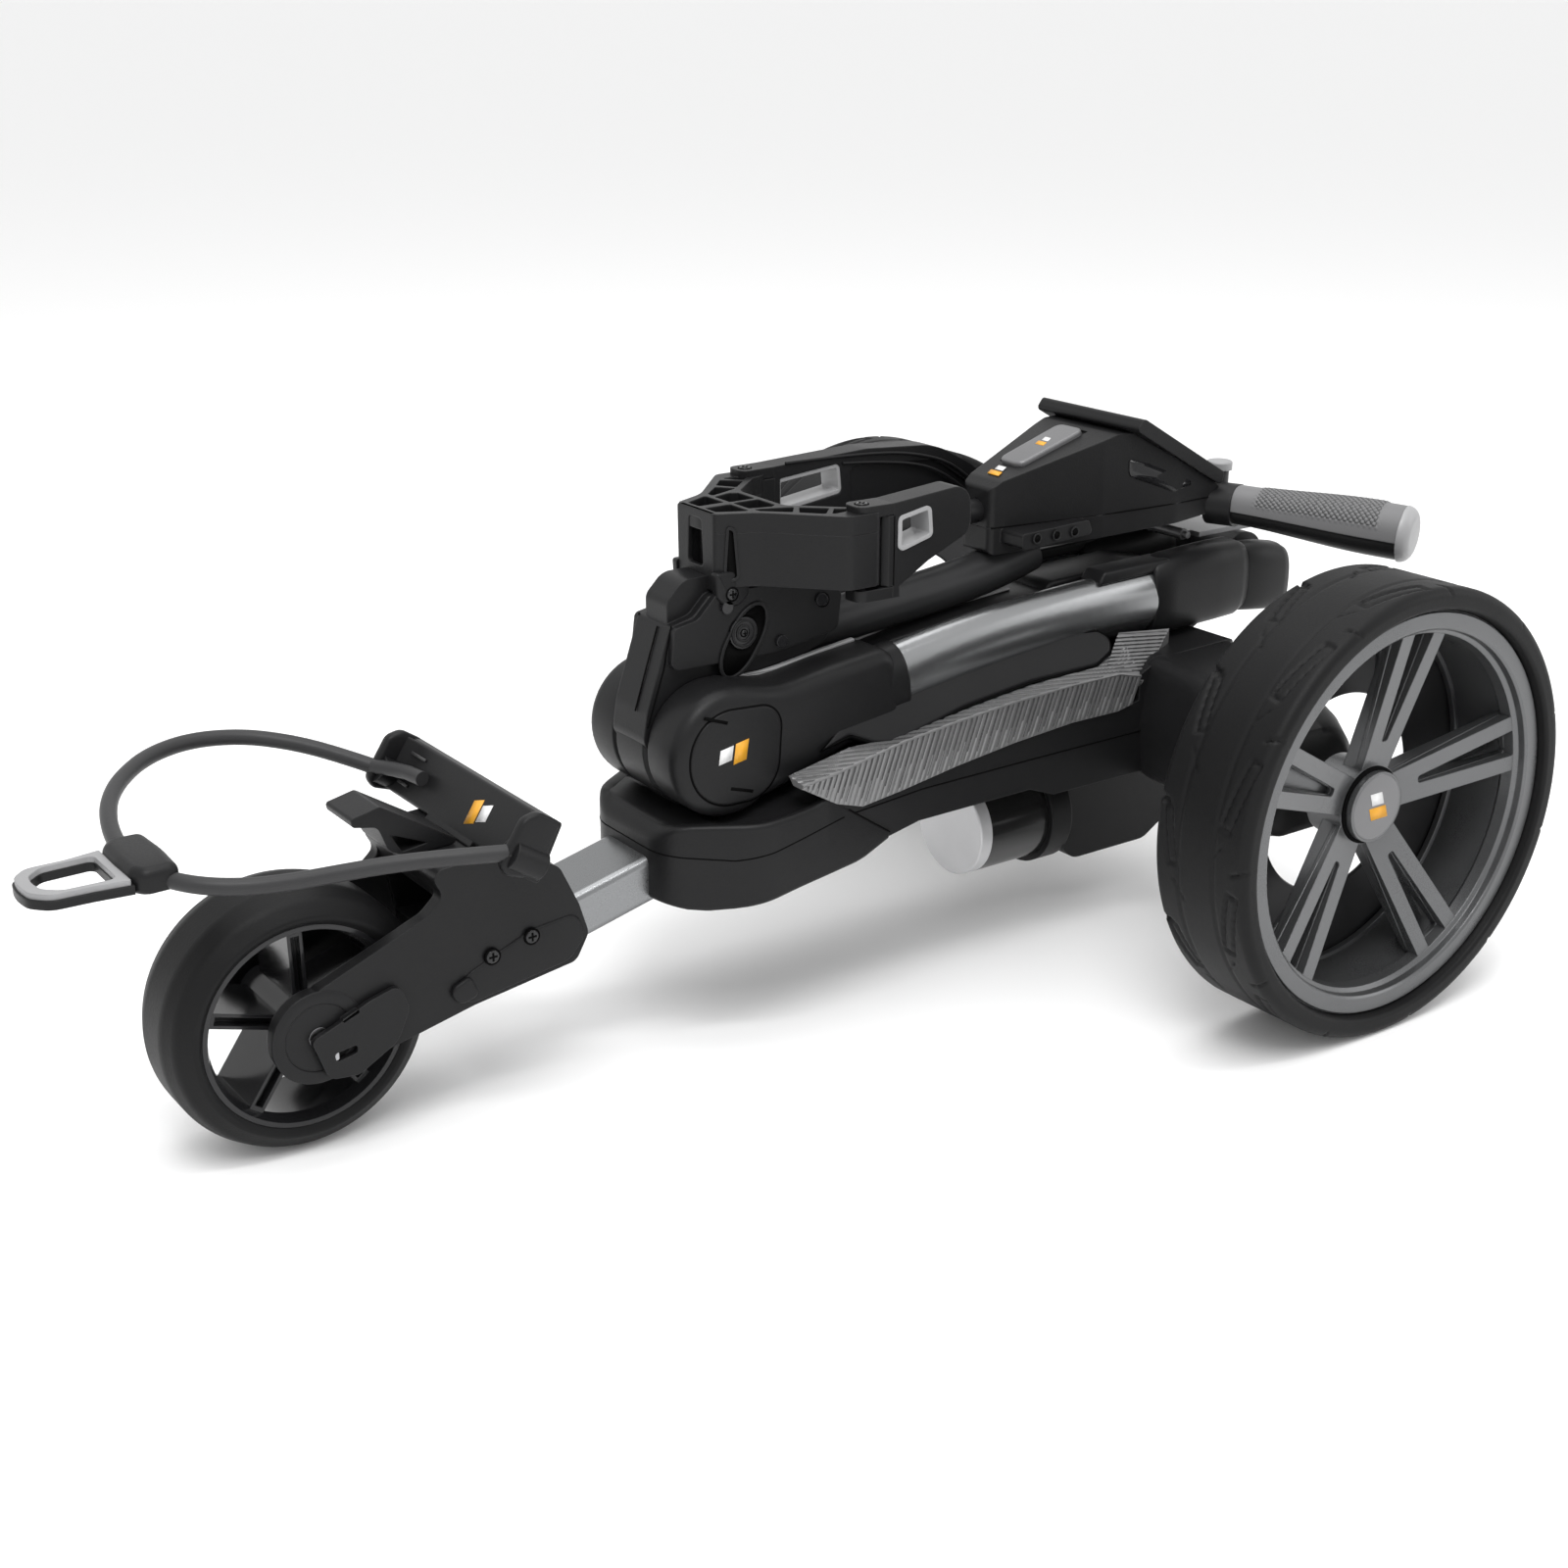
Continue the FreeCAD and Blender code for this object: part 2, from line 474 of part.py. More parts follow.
def bag_bracket_low():
    """A leaning plate with raised ends, a strap socket at each end and a neck to the fork crown."""
    (x1, z1), (x0, z0) = BRACKET_TOP, BRACKET_LOW
    plate = plate_y([(x1, z1), (x1 + 8, z1 + 3), (x0 + 8, z0 + 6.5), (x0 - 2, z0)],
                    -BRACKET_HALF, BRACKET_HALF, 2)
    rim_points = [(x1 + 2, z1), (x1 + 13, z1 + 7), (x0 + 14, z0 + 12), (x0, z0 + 3)]
    rims = both(plate_y(rim_points, BRACKET_HALF - 5, BRACKET_HALF, 3))
    neck = plate_y([(x1 - 1, 162.2), (x0 + 10, 161.9), (x0 + 6, z0 + 9), (x1 + 1, z1 - 8), (x1 - 4, z1 - 12)],
                   -28, 28)
    facing = V(z1 - z0 - 3.5, 0, x0 - x1).normalize()
    ends = V(*STRAP_ROUTE[0]), V(*STRAP_ROUTE[-1])
    sockets = [Part.makeCylinder(9, 22, end - facing * 22, facing) for end in ends]
    crown = plate_y(CROWN, -LEG_OUT, LEG_OUT, CROWN_RADII)
    body = fuse([plate, neck] + rims + sockets).cut(crown).cut(strap_solid())
    save("lower_bag_bracket", max(body.Solids, key=lambda solid: solid.Volume))


# ---- bag strap: a rubber cord that loops forward from the low bracket ----
def route_path(points):
    """Straight runs joined by tangent arcs, each as large as its runs allow."""
    points = [V(*point) for point in points]
    edges = []
    here = points[0]
    for before, corner, after in zip(points, points[1:], points[2:]):
        a, b = (before - corner), (after - corner)
        turn = math.pi - a.getAngle(b)
        back = 0.45 * min(a.Length, b.Length)
        radius = back / math.tan(turn / 2)
        a.normalize()
        b.normalize()
        middle = (a + b).normalize()
        top = corner + middle * (radius / math.cos(turn / 2) - radius)
        start, finish = corner + a * back, corner + b * back
        edges.append(Part.LineSegment(here, start).toShape())
        edges.append(Part.Arc(start, top, finish).toShape())
        here = finish
    edges.append(Part.LineSegment(here, points[-1]).toShape())
    return Part.Wire(edges)


def strap_solid():
    path = route_path(STRAP_ROUTE)
    start = V(*STRAP_ROUTE[0])
    section = Part.Wire([Part.Circle(start, V(*STRAP_ROUTE[1]) - start, STRAP_R).toShape()])
    return path.makePipeShell([section], True, False)


def bag_strap():
    strap = strap_solid()
    save("bungee_strap", strap)
    slider = plate_z([(407, -21), (430, -21), (436, -12), (436, 30), (430, 39), (407, 39)], 182, 197, 5)
    slider = slider.cut(strap)
    slider = max(slider.Solids, key=lambda solid: solid.Volume)
    save("strap_slider", slider)
    frame = plate_z([(436, -17), (477, -14), (487, 9), (477, 32), (436, 35)], 184, 192, [3, 12, 30, 12, 3])
    frame = frame.cut(plate_z([(441, -10), (468, -8), (473, 9), (468, 26), (441, 28)], 180, 196,
                              [3, 6, 20, 6, 3]))
    save("strap_hook", frame)


# ---- folding arms ----
def arm(side_y):
    outer = oval_tube(ARM_LINE, side_y, ARM_HALF_Z, ARM_HALF_Y)
    inner = oval_tube(ARM_LINE, side_y, ARM_HALF_Z, ARM_HALF_Y, -ARM_WALL)
    return outer.cut(inner), outer


def folding_arms():
    x, z = TOP_HINGE
    tube, solid = arm(ARM_Y)
    low, high = 18.5, 53.0
    neck = plate_y([(x, z + BOSS_R), (30, z + 33), (-10, 231), (-56, 236.5), (-62, 187), (x - 40, 163),
                    (x, z - BOSS_R)], low, high, [0, 30, 30, 4, 4, 30, 0])
    boss = rod_y(x, z, BOSS_R, low, high - 3)
    boss = fuse([neck, boss, rod_y(x, z, BOSS_R - 3, high - 3, high)])
    boss = soften(boss, 7, lambda e: e.CenterOfMass.y > high - 0.1 and e.BoundBox.XLength > 20)
    boss = boss.cut(solid).cut(rod_y(x, z, PIN_R, 0, high - 6))
    cap = plate_y([(x + 33, z - 33), (x - 34, z - 33), (x - 37, z + 30), (x + 33, z + 34)],
                  high - 1.5, high + 1, [32, 24, 18, 32])
    boss = max(boss.cut(cap).Solids, key=lambda part: part.Volume)
    cap = soften(cap, 1, lambda e: e.CenterOfMass.y > high + 0.9)
    hx, hz = LOW_HINGE
    sleeve = plate_y([(-284, 254), (-340, 258), (-386, 261), (-396, 256), (-399, 215), (-386, 208),
                      (-340, 205), (-286, 204)], low, high, [4, 40, 10, 10, 10, 10, 40, 4])
    sleeve = soften(sleeve, 7, lambda e: e.CenterOfMass.y > high - 0.1)
    knuckle = rod_y(hx, hz, 20, low, 48)
    stand = box(LEVER_X - 6, LEVER_X + 6, 22.3, 29, 250, LEVER_Z + 4)
    sleeve = sleeve.cut(box(-412, LEVER_X + 7, 0, 31, 254.5, 270))
    sleeve = sleeve.fuse([knuckle, stand]).removeSplitter().cut(rod_y(LEVER_X, LEVER_Z, 2.55, 20, 26.3))
    sleeve = sleeve.cut(solid).cut(rod_y(hx, hz, PIN_R, 0, 46))
    sleeve = max(sleeve.Solids, key=lambda part: part.Volume)
    save("arm_tubes", *both(tube))
    save("left_arm_boss", boss)
    save("right_arm_boss", mirrored(boss))
    save("boss_caps", *both(cap))
    save("rear_sleeves", *both(sleeve))
    front_pin = rod_y(x, z, PIN_R, -high + 6, high - 6)
    save("hinge_pins", front_pin, rod_y(hx, hz, PIN_R, -46, 46))
    lug = plate_y([(-332.2, 182), (-332.2, 214), (-352, 226), (hx, hz + 17), (hx - 17, hz), (hx, hz - 17),
                   (-360, 196)], -17.5, 17.5, [0, 6, 10, 8, 8, 8, 10])
    lug = lug.fuse(rod_y(hx, hz, 19.5, -17.5, 17.5)).removeSplitter()
    save("rear_hinge_bracket", lug.cut(rod_y(hx, hz, PIN_R + 0.05, -20, 20)))
    plate = plate_y([(-331, 262.5), (-331, 266), (-408, 266), (-408, 262.5)], -30, 30, 1)
    plate = plate.cut(box(-400, -376, -18, 18, 250, 280))
    plate = cut(plate, both(box(LEVER_X - 6.8, LEVER_X + 7, 21.9, 31, 250, 280)))
    barrel = rod_y(LEVER_X, LEVER_Z, 4, -21.9, 21.9)
    trunnion = rod_y(LEVER_X, LEVER_Z, 2.5, -26, 26)
    save("rear_release_lever", fuse([plate, barrel, trunnion]))


# ---- upper frame ----
def upper_frame():
    x, z = TOP_HINGE
    half = 18.0
    block = plate_y([(112, 192), (108, 216), (91, 266), (74, 270), (62, 282), (-16, 280), (-30, 270),
                     (-28, 240), (20, 222), (x - 30, z - 20)], -half, half,
                    [10, 30, 4, 10, 8, 10, 6, 14, 20, 20])
    core = plate_y([(89, 255), (89, 280), (77, 292), (46, 292), (40, 255)], -12, 12, [2, 8, 14, 2, 2])
    block = fuse([block, rod_y(x, z, BOSS_R - 6, -half, half), core])
    block = block.cut(rod_y(x, z, PIN_R + 0.05, -20, 20))
    cheek = plate_y([(94, 240), (90.5, 266), (74, 269), (60, 283), (-16, 283), (-33, 270), (-30, 246),
                     (18, 239), (56, 239.5)], half, 23, [6, 4, 8, 6, 6, 6, 6, 6, 6])
    button_hole = rod_y(42, 256, 10.4, 14, 25)
    block = fuse([block.cut(button_hole), cheek.cut(button_hole), mirrored(cheek)])
    stem = oval_tube(STEM_LINE, 0, STEM_R, STEM_R)
    save("hinge_block", max(block.cut(stem).Solids, key=lambda part: part.Volume))
    save("stem_tube", stem.cut(oval_tube(STEM_LINE, 0, STEM_R, STEM_R, -ARM_WALL)))
    save("lock_button", rod_y(42, 256, 10, 17.5, 24.5))
    save("bag_bracket", upper_bag_bracket().cut(core))
    fasteners = both(rod_z(PIVOT_X, PIVOT_Y, 4, ARM_LOW, ARM_TOP))
    for sx, sz in ((54, 274), (-16, 268), (14, 246)):
        fasteners += both(rod_y(sx, sz, 4, 23, 25.5))
    save("bracket_fasteners", *fasteners)
    bag_arm("left", 76, [(PIVOT_X - 76, 340), (PIVOT_X - 77, 310), (PIVOT_X - 44, 296)], [12, 10, 20])
    bag_arm("right", 203, [(-110, 338), (-168, 334), (-206, 314), (-222, 288), (-200, 282)],
            [60, 60, 40, 8, 10])


def upper_bag_bracket():
    """Two ribbed wings, from a box front to the ears that hold the bag arms."""
    px, py, front = PIVOT_X, PIVOT_Y, 60.0
    low, high = ARM_LOW + 7.3, ARM_TOP - 7.3
    plan = [(front, -20), (front, 20), (36, 30), (px + 16, py + 10), (px - 10, py + 10), (px - 12, py - 8),
            (px + 2, py - 12), (12, 24), (12, -24), (px + 2, -py + 12), (px - 12, -py + 8),
            (px - 10, -py - 10), (px + 16, -py - 10), (36, -30)]
    bracket = plate_z(plan, low, high + 3, [4, 4, 20, 10, 8, 8, 6, 8, 8, 6, 8, 8, 10, 20])
    ear_top = box(px - 40, px + 14, py - 13, py + 20, high, high + 9)
    bracket = cut(bracket, both(ear_top))
    bracket = cut(bracket, both(box(20, front - 4, 2, 17, 300, 340)))
    pocket = plate_z([(34, 27), (12, 41.5), (0, 50), (2, 56), (14, 50), (36, 30)], 300, 340)
    bracket = cut(bracket, both(pocket) + both(rod_z(px, py, 4, 270, 340)))
    return bracket.cut(plate_x([(-8, 295), (8, 295), (6, 320), (-6, 320)], front - 12, front + 10, 3))


def bag_arm(name, reach, outline, radii):
    """A hoop behind the pivot, between two ears. The outline runs along its top and round its tip."""
    px, py = PIVOT_X, PIVOT_Y
    y0, y1 = py - 8, py + 10
    hoop = plate_y([(px - 17, ARM_TOP)] + outline + [(px - 17, ARM_LOW + 4)], y0, y1, [1] + radii + [1])
    width = 70 if reach > 100 else 45
    window = plate_y([(px - 20, 326.5), (px - width, 331), (px - width - 2, 311), (px - 20, 304)],
                     y0 - 1, y1 + 1, 4)
    hoop = hoop.cut(window)
    if reach > 100:
        slot = plate_y([(px - 78, 328), (px - 150, 324), (px - 184, 302), (px - 190, 292), (px - 78, 300)],
                       y0 - 1, y1 + 1, [5, 30, 20, 4, 5])
        hoop = hoop.cut(slot)
    ears = []
    for z0, z1 in ((ARM_TOP - 7, ARM_TOP), (ARM_LOW, ARM_LOW + 7)):
        ear = plate_z([(px + 8, py - 9), (px - 22, py - 8), (px - 22, py + 10), (px + 8, py + 9)], z0, z1, 6)
        ears.append(ear.cut(rod_z(px, py, 4.05, 270, 350)))
    neck = box(px - 22, px - 17, y0, y1, ARM_LOW, ARM_TOP)
    frame = fuse([hoop, neck] + ears)
    save(name + "_bag_arm", frame if name == "left" else mirrored(frame))


# ---- handle: console, bar and grips ----
def handle():
    side = [(-160, 272), (-160, 316), (-168, 321), (-250, 346), (-262, 346), (-336, 304), (-341, 296),
            (-336, 285), (-300, 281)]
    plan = [(-160, -14), (-160, 14), (-240, 35), (-300, 45), (-342, 47), (-342, -47), (-300, -45),
            (-240, -35)]
    hull = plate_y(side, -60, 60, [4, 4, 10, 6, 6, 6, 4, 6, 20])
    hull = hull.common(plate_z(plan, 260, 380, [5, 5, 40, 40, 5, 5, 40, 40]))
    core = plate_y([(-164, 279), (-164, 312), (-250, 340), (-262, 340), (-330, 303), (-330, 289)], -60, 60)
    core = core.common(plate_z([(-164, -10), (-164, 10), (-240, 31), (-300, 41), (-338, 43), (-338, -43),
                                (-300, -41), (-240, -31)], 260, 380))
    stem = oval_tube(STEM_LINE, 0, STEM_R, STEM_R)
    middle = rod_y(BAR_X, BAR_Z, BAR_R, -GRIP_START, GRIP_START)
    reach = swept(rod_y(BAR_X, BAR_Z, BAR_R, GRIP_START, GRIP_START + GRIP_LENGTH))
    joint = Part.makeSphere(BAR_R, V(BAR_X, GRIP_START, BAR_Z))
    bar = fuse([middle] + both(reach) + both(joint))
    grip_way = rod_y(BAR_X, BAR_Z, GRIP_R + 0.5, GRIP_START - 3, 200)
    shell = cut(hull, [core, stem, bar] + both(swept(grip_way)))
    split = plate_y([(-150, 260), (-150, 290), (-345, 296), (-345, 260)], -60, 60)
    badge = plate_y([(-190, 325), (-246, 342.6), (-245, 345.9), (-189, 328.3)], -12, 12, 1)
    port = plate_y([(-168, 279), (-168, 290), (-226, 292), (-230, 282)], 15, 38, 3).cut(hull)
    port = max(port.Solids, key=lambda solid: solid.Volume)
    upper = shell.cut(split).cut(badge)
    lower = fuse([shell.common(split), port])
    save("console_upper", max(upper.Solids, key=lambda solid: solid.Volume))
    save("console_lower", max(lower.Solids, key=lambda solid: solid.Volume))
    save("badge_plate", badge)
    slope = plate_y([(-254, 350), (-260, 357.5), (-339, 312), (-336, 303.5)], -50, 50, [3, 3, 3, 3])
    slope = cut(slope, [hull] + both(swept(grip_way)))
    screen = plate_y([(-272, 350.5), (-271, 353), (-326, 321.2), (-327, 318.8)], -34, 34)
    slope = slope.cut(screen)
    save("display_bezel", max(slope.Solids, key=lambda solid: solid.Volume))
    save("display_screen", screen)
    dial = rod_z(DIAL_X, DIAL_Y, DIAL_R, DIAL_Z, DIAL_Z + 6)
    dial = soften(dial, 1.5, lambda e: e.CenterOfMass.z > DIAL_Z + 5)
    grip = ring_y(BAR_X, BAR_Z, GRIP_R, BAR_R, GRIP_START, GRIP_START + GRIP_LENGTH)
    grip = soften(grip, 2, lambda e: abs(e.CenterOfMass.y - GRIP_START) < 0.1 and e.BoundBox.XLength > 30)
    end = rod_y(BAR_X, BAR_Z, GRIP_R, GRIP_START + GRIP_LENGTH, GRIP_START + GRIP_LENGTH + 8)
    end = soften(end, 5, lambda e: e.CenterOfMass.y > GRIP_START + GRIP_LENGTH + 7)
    mount = rod_z(DIAL_X, DIAL_Y, DIAL_R - 2, BAR_Z, DIAL_Z - 0.4)
    grip = swept(grip).cut(bar)
    save("handle_bar", fuse([bar, mount.cut(grip)]))
    save("grips", *both(grip))
    save("grip_ends", *both(swept(end).cut(bar)))
    save("speed_dial", dial)


def swept(shape):
    """Leans a shape that lies along +Y back and down, about the bar's bend."""
    copy = shape.copy()
    bend = V(BAR_X, GRIP_START, BAR_Z)
    copy.rotate(bend, V(1, 0, 0), -DROP)
    copy.rotate(bend, V(0, 0, 1), SWEEP)
    return copy


def main():
    os.makedirs("parts", exist_ok=True)
    chassis()
    battery()
    drive()
    front_wheel()
    fork()
    bag_bracket_low()
    bag_strap()
    folding_arms()
    upper_frame()
    handle()


main()
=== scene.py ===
"""Folded electric golf trolley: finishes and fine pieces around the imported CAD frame.

Lengths are in mm until mm().
"""

import json
import math

import bpy
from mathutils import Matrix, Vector
from mathutils.geometry import tessellate_polygon


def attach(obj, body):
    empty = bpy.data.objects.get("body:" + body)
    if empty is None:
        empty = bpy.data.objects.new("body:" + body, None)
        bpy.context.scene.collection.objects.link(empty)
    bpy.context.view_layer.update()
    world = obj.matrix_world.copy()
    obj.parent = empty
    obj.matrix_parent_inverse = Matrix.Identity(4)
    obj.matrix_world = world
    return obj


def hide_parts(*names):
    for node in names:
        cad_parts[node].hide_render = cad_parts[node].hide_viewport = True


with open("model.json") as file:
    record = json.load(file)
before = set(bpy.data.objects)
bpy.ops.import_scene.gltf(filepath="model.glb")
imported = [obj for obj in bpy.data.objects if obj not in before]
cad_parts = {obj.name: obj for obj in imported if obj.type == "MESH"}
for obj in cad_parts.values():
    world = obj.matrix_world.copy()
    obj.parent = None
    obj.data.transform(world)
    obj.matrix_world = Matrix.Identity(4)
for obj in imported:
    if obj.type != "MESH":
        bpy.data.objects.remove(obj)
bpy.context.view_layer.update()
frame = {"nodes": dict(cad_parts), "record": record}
SCENE = bpy.context.scene
NODES = frame["nodes"]
MM = 0.001
FRAME_BODY = "chassis"


def mm(*values):
    return tuple(value * MM for value in values)


# ---- camera ----
camera = bpy.data.objects.new("camera", bpy.data.cameras.new("camera"))
SCENE.collection.objects.link(camera)
camera.location = mm(753.308, 1076.610, 629.879)
camera.rotation_euler = Vector((0.53983, 0.76637, 0.34823)).to_track_quat("Z", "Y").to_euler()
camera.data.lens = 49.897
camera.data.clip_start, camera.data.clip_end = 0.05, 60
SCENE.camera = camera

# ---- bag cord: leaves one end of the low bracket, loops through its slider and goes back in ----
CORD_ROUTE = [
    (239, 84, 178), (258, 80, 179.5), (279, 73, 180), (303, 67, 180.5), (330, 64, 181), (357, 63, 182),
    (381, 59, 183.5), (402, 48, 185.5), (416, 30, 187.5), (422, 7, 189.5), (422, -18, 192), (417, -45, 195),
    (407, -72, 198), (390, -98, 200), (366, -121, 201.5), (336, -134, 201), (305, -132, 198),
    (280, -119, 193), (258, -102, 186), (239, -84, 178)]
CORD_LENGTH, CORD_WIDTH = 0.507, 0.0098


def curve_object(name, runs, radius, nurbs=False):
    data = bpy.data.curves.new(name, "CURVE")
    data.dimensions = "3D"
    data.bevel_depth, data.bevel_resolution = 1.0, 5   # each point's own radius scales this
    data.use_fill_caps = True
    for points in runs:
        spline = data.splines.new("NURBS" if nurbs else "POLY")
        spline.points.add(len(points) - 1)
        for target, point in zip(spline.points, points):
            target.co, target.radius = (*mm(*point), 1), radius * MM
        if nurbs:
            spline.order_u = 3
            spline.use_endpoint_u = True
            spline.resolution_u = 10
    piece = bpy.data.objects.new(name, data)
    SCENE.collection.objects.link(piece)
    return piece


bag_cord = curve_object("bag_cord", [CORD_ROUTE], CORD_WIDTH / 2 / MM, nurbs=True)
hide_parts("bungee_strap")
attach(bag_cord, FRAME_BODY)


# ---- materials ----
def make_finish(name, colour, rough, metal=0.0, grain=0.0, grain_size=900.0, vary=0.12, spread=0.08,
                bevel=0.6, coat=0.0, spec=0.5, wear_and_sheen=0.0):
    """A moulded, painted or metal surface: colour drift, uneven gloss, fine grain, and edges lightened in
    colour, partly as wear and partly as a painted highlight.
    """
    material = bpy.data.materials.new(name)
    material.use_nodes = True
    tree = material.node_tree
    shader = tree.nodes["Principled BSDF"]
    shader.inputs["Metallic"].default_value = metal
    shader.inputs["Specular IOR Level"].default_value = spec
    shader.inputs["Coat Weight"].default_value = coat
    shader.inputs["Coat Roughness"].default_value = 0.12

    def node(kind, **values):
        made = tree.nodes.new("ShaderNode" + kind)
        for key, value in values.items():
            if key[0].isupper():
                made.inputs[key.replace("_", " ")].default_value = value
            else:
                setattr(made, key, value)
        return made

    def link(source, target):
        tree.links.new(source, target)

    place = node("TexCoord").outputs["Object"]
    drift = node("TexNoise", Scale=22.0, Detail=4.0)
    fine = node("TexNoise", Scale=grain_size, Detail=3.0)
    link(place, drift.inputs["Vector"])
    link(place, fine.inputs["Vector"])
    tint = node("Mix", data_type="RGBA")
    low = [channel * (1 - vary) for channel in colour]
    high = [min(1, channel * (1 + vary)) for channel in colour]
    for socket, value in zip([s for s in tint.inputs if s.type == "RGBA"], (low, high)):
        socket.default_value = (*value, 1)
    link(drift.outputs["Fac"], tint.inputs["Factor"])
    colour_out = [s for s in tint.outputs if s.type == "RGBA"][0]
    gloss = node("MapRange", To_Min=max(0.03, rough - spread), To_Max=min(1, rough + spread))
    blend = node("Math", operation="MULTIPLY")
    link(drift.outputs["Fac"], blend.inputs[0])
    link(fine.outputs["Fac"], blend.inputs[1])
    scale = node("Math", operation="MULTIPLY")
    scale.inputs[1].default_value = 2.0
    link(blend.outputs[0], scale.inputs[0])
    link(scale.outputs[0], gloss.inputs["Value"])
    link(gloss.outputs["Result"], shader.inputs["Roughness"])
    edge = node("Bevel", Radius=bevel * MM, samples=6)
    # edges lighter in colour where the bevelled normal turns away: partly wear, partly a painted highlight
    if wear_and_sheen:
        flat = node("NewGeometry")
        dot = node("VectorMath", operation="DOT_PRODUCT")
        link(edge.outputs[0], dot.inputs[0])
        link(flat.outputs["Normal"], dot.inputs[1])
        wear_and_sheen_mask = node("MapRange", From_Min=0.995, From_Max=0.85, To_Min=0.0, To_Max=wear_and_sheen)
        link(dot.outputs["Value"], wear_and_sheen_mask.inputs["Value"])
        wear_and_sheen_mix = node("Mix", data_type="RGBA")
        rgba = [s for s in wear_and_sheen_mix.inputs if s.type == "RGBA"]
        rgba[1].default_value = (*[min(1, channel * 2.2 + 0.05) for channel in colour], 1)
        link(wear_and_sheen_mask.outputs["Result"], wear_and_sheen_mix.inputs["Factor"])
        link(colour_out, rgba[0])
        colour_out = [s for s in wear_and_sheen_mix.outputs if s.type == "RGBA"][0]
    link(colour_out, shader.inputs["Base Color"])
    bump = node("Bump", Strength=grain, Distance=0.0004)
    link(fine.outputs["Fac"], bump.inputs["Height"])
    if bevel:
        link(edge.outputs[0], bump.inputs["Normal"])
    link(bump.outputs[0], shader.inputs["Normal"])
    return material


FINISHES = {
    "black_plastic": make_finish("satin_black", (0.009, 0.009, 0.0095), 0.40, grain=0.2, bevel=1.2, wear_and_sheen=0.20,
                                 spec=0.19),
    "black_gloss": make_finish("gloss_black", (0.012, 0.012, 0.013), 0.16, grain=0.04, bevel=0.8, coat=0.15,
                               spec=0.3),
    "ribbed_trim": make_finish("ribbed_grey", (0.19, 0.19, 0.192), 0.36, metal=0.5, grain=0.1, bevel=0.3),
    "gunmetal_tube": make_finish("gunmetal", (0.30, 0.305, 0.31), 0.27, metal=0.95, bevel=0, vary=0.0,
                                 spread=0.0),
    "dark_tube": make_finish("dark_tube", (0.028, 0.028, 0.029), 0.38, metal=0.3, grain=0.05, bevel=0.8,
                             spec=0.25),
    "silver_tube": make_finish("silver_tube", (0.235, 0.24, 0.245), 0.28, metal=0.95, bevel=1.2, vary=0.04,
                               spread=0.03),
    "rim_grey": make_finish("rim_grey", (0.125, 0.127, 0.13), 0.30, metal=0.7, grain=0.06, grain_size=2500,
                            bevel=1.0),
    "tyre_black": make_finish("tyre_rubber", (0.006, 0.006, 0.0063), 0.50, grain=0.3, bevel=0.6, spec=0.16),
    "strap_rubber": make_finish("strap_rubber", (0.030, 0.030, 0.031), 0.42, grain=0.2, bevel=0.4, spec=0.25),
    "hook_grey": make_finish("hook_grey", (0.26, 0.26, 0.265), 0.42, grain=0.15, bevel=1.2),
    "grip_rubber": make_finish("grip_grey", (0.15, 0.15, 0.153), 0.45, grain=0.2, bevel=0.2, spec=0.3),
    "motor_black": make_finish("motor_black", (0.012, 0.012, 0.012), 0.2, grain=0.03, bevel=0.8, coat=0.3),
    "motor_lid": make_finish("motor_lid", (0.62, 0.62, 0.63), 0.4, metal=0.3, grain=0.08, bevel=0.8),
    "steel": make_finish("steel", (0.36, 0.36, 0.37), 0.3, metal=1.0, grain=0.05, bevel=0.4),
    "bronze": make_finish("bronze", (0.42, 0.26, 0.10), 0.34, metal=1.0, grain=0.05, bevel=0.3),
    "magnet": make_finish("magnet", (0.06, 0.06, 0.065), 0.5, metal=0.3, grain=0.3, bevel=0.4),
    "cell_wrap": make_finish("cell_wrap", (0.03, 0.09, 0.20), 0.35, grain=0.05, bevel=0.6),
    "circuit_board": make_finish("circuit_board", (0.01, 0.09, 0.04), 0.4, grain=0.1, bevel=0.2),
    "badge_grey": make_finish("badge_grey", (0.15, 0.15, 0.154), 0.34, metal=0.4, grain=0.05, bevel=1.0),
    "screen": make_finish("screen", (0.008, 0.010, 0.012), 0.07, bevel=0.3, coat=0.6),
}
ORANGE = make_finish("mark_orange", (0.70, 0.33, 0.02), 0.45, bevel=0.2, vary=0.04)
WHITE = make_finish("mark_white", (0.72, 0.72, 0.72), 0.45, bevel=0.2, vary=0.04)
# darker grey for the grip's grooves: painted shade
SHADED_GRIP_GROOVE = make_finish("grip_groove_painted_shade", (0.065, 0.065, 0.066), 0.55, bevel=0.2, spec=0.25)
# darker than the trim: painted shade for grooves and slits
SHADED_GROOVE = make_finish("groove_painted_shade", (0.035, 0.035, 0.036), 0.5, bevel=0.2)
# near-black with almost no gloss: dark joints, and painted shade in slots, recesses and screw crosses
SEAM_AND_SHADE_DARK = make_finish("seam_and_painted_shade", (0.003, 0.003, 0.003), 0.7, bevel=0, spec=0.03)
PALE = make_finish("pale_grey", (0.30, 0.30, 0.305), 0.38, grain=0.1, bevel=1.0)

for part in frame["record"]["subparts"]:
    node = NODES[part["node"]]
    finish = "black_gloss" if part["node"] in ("bracket_fasteners", "fork_screws") else part["material_slot"]
    for index in range(max(1, len(node.material_slots))):
        if not node.material_slots:
            node.data.materials.append(None)
        node.material_slots[index].link = "OBJECT"
        node.material_slots[index].material = FINISHES[finish]
bag_cord.data.materials.append(FINISHES["strap_rubber"])

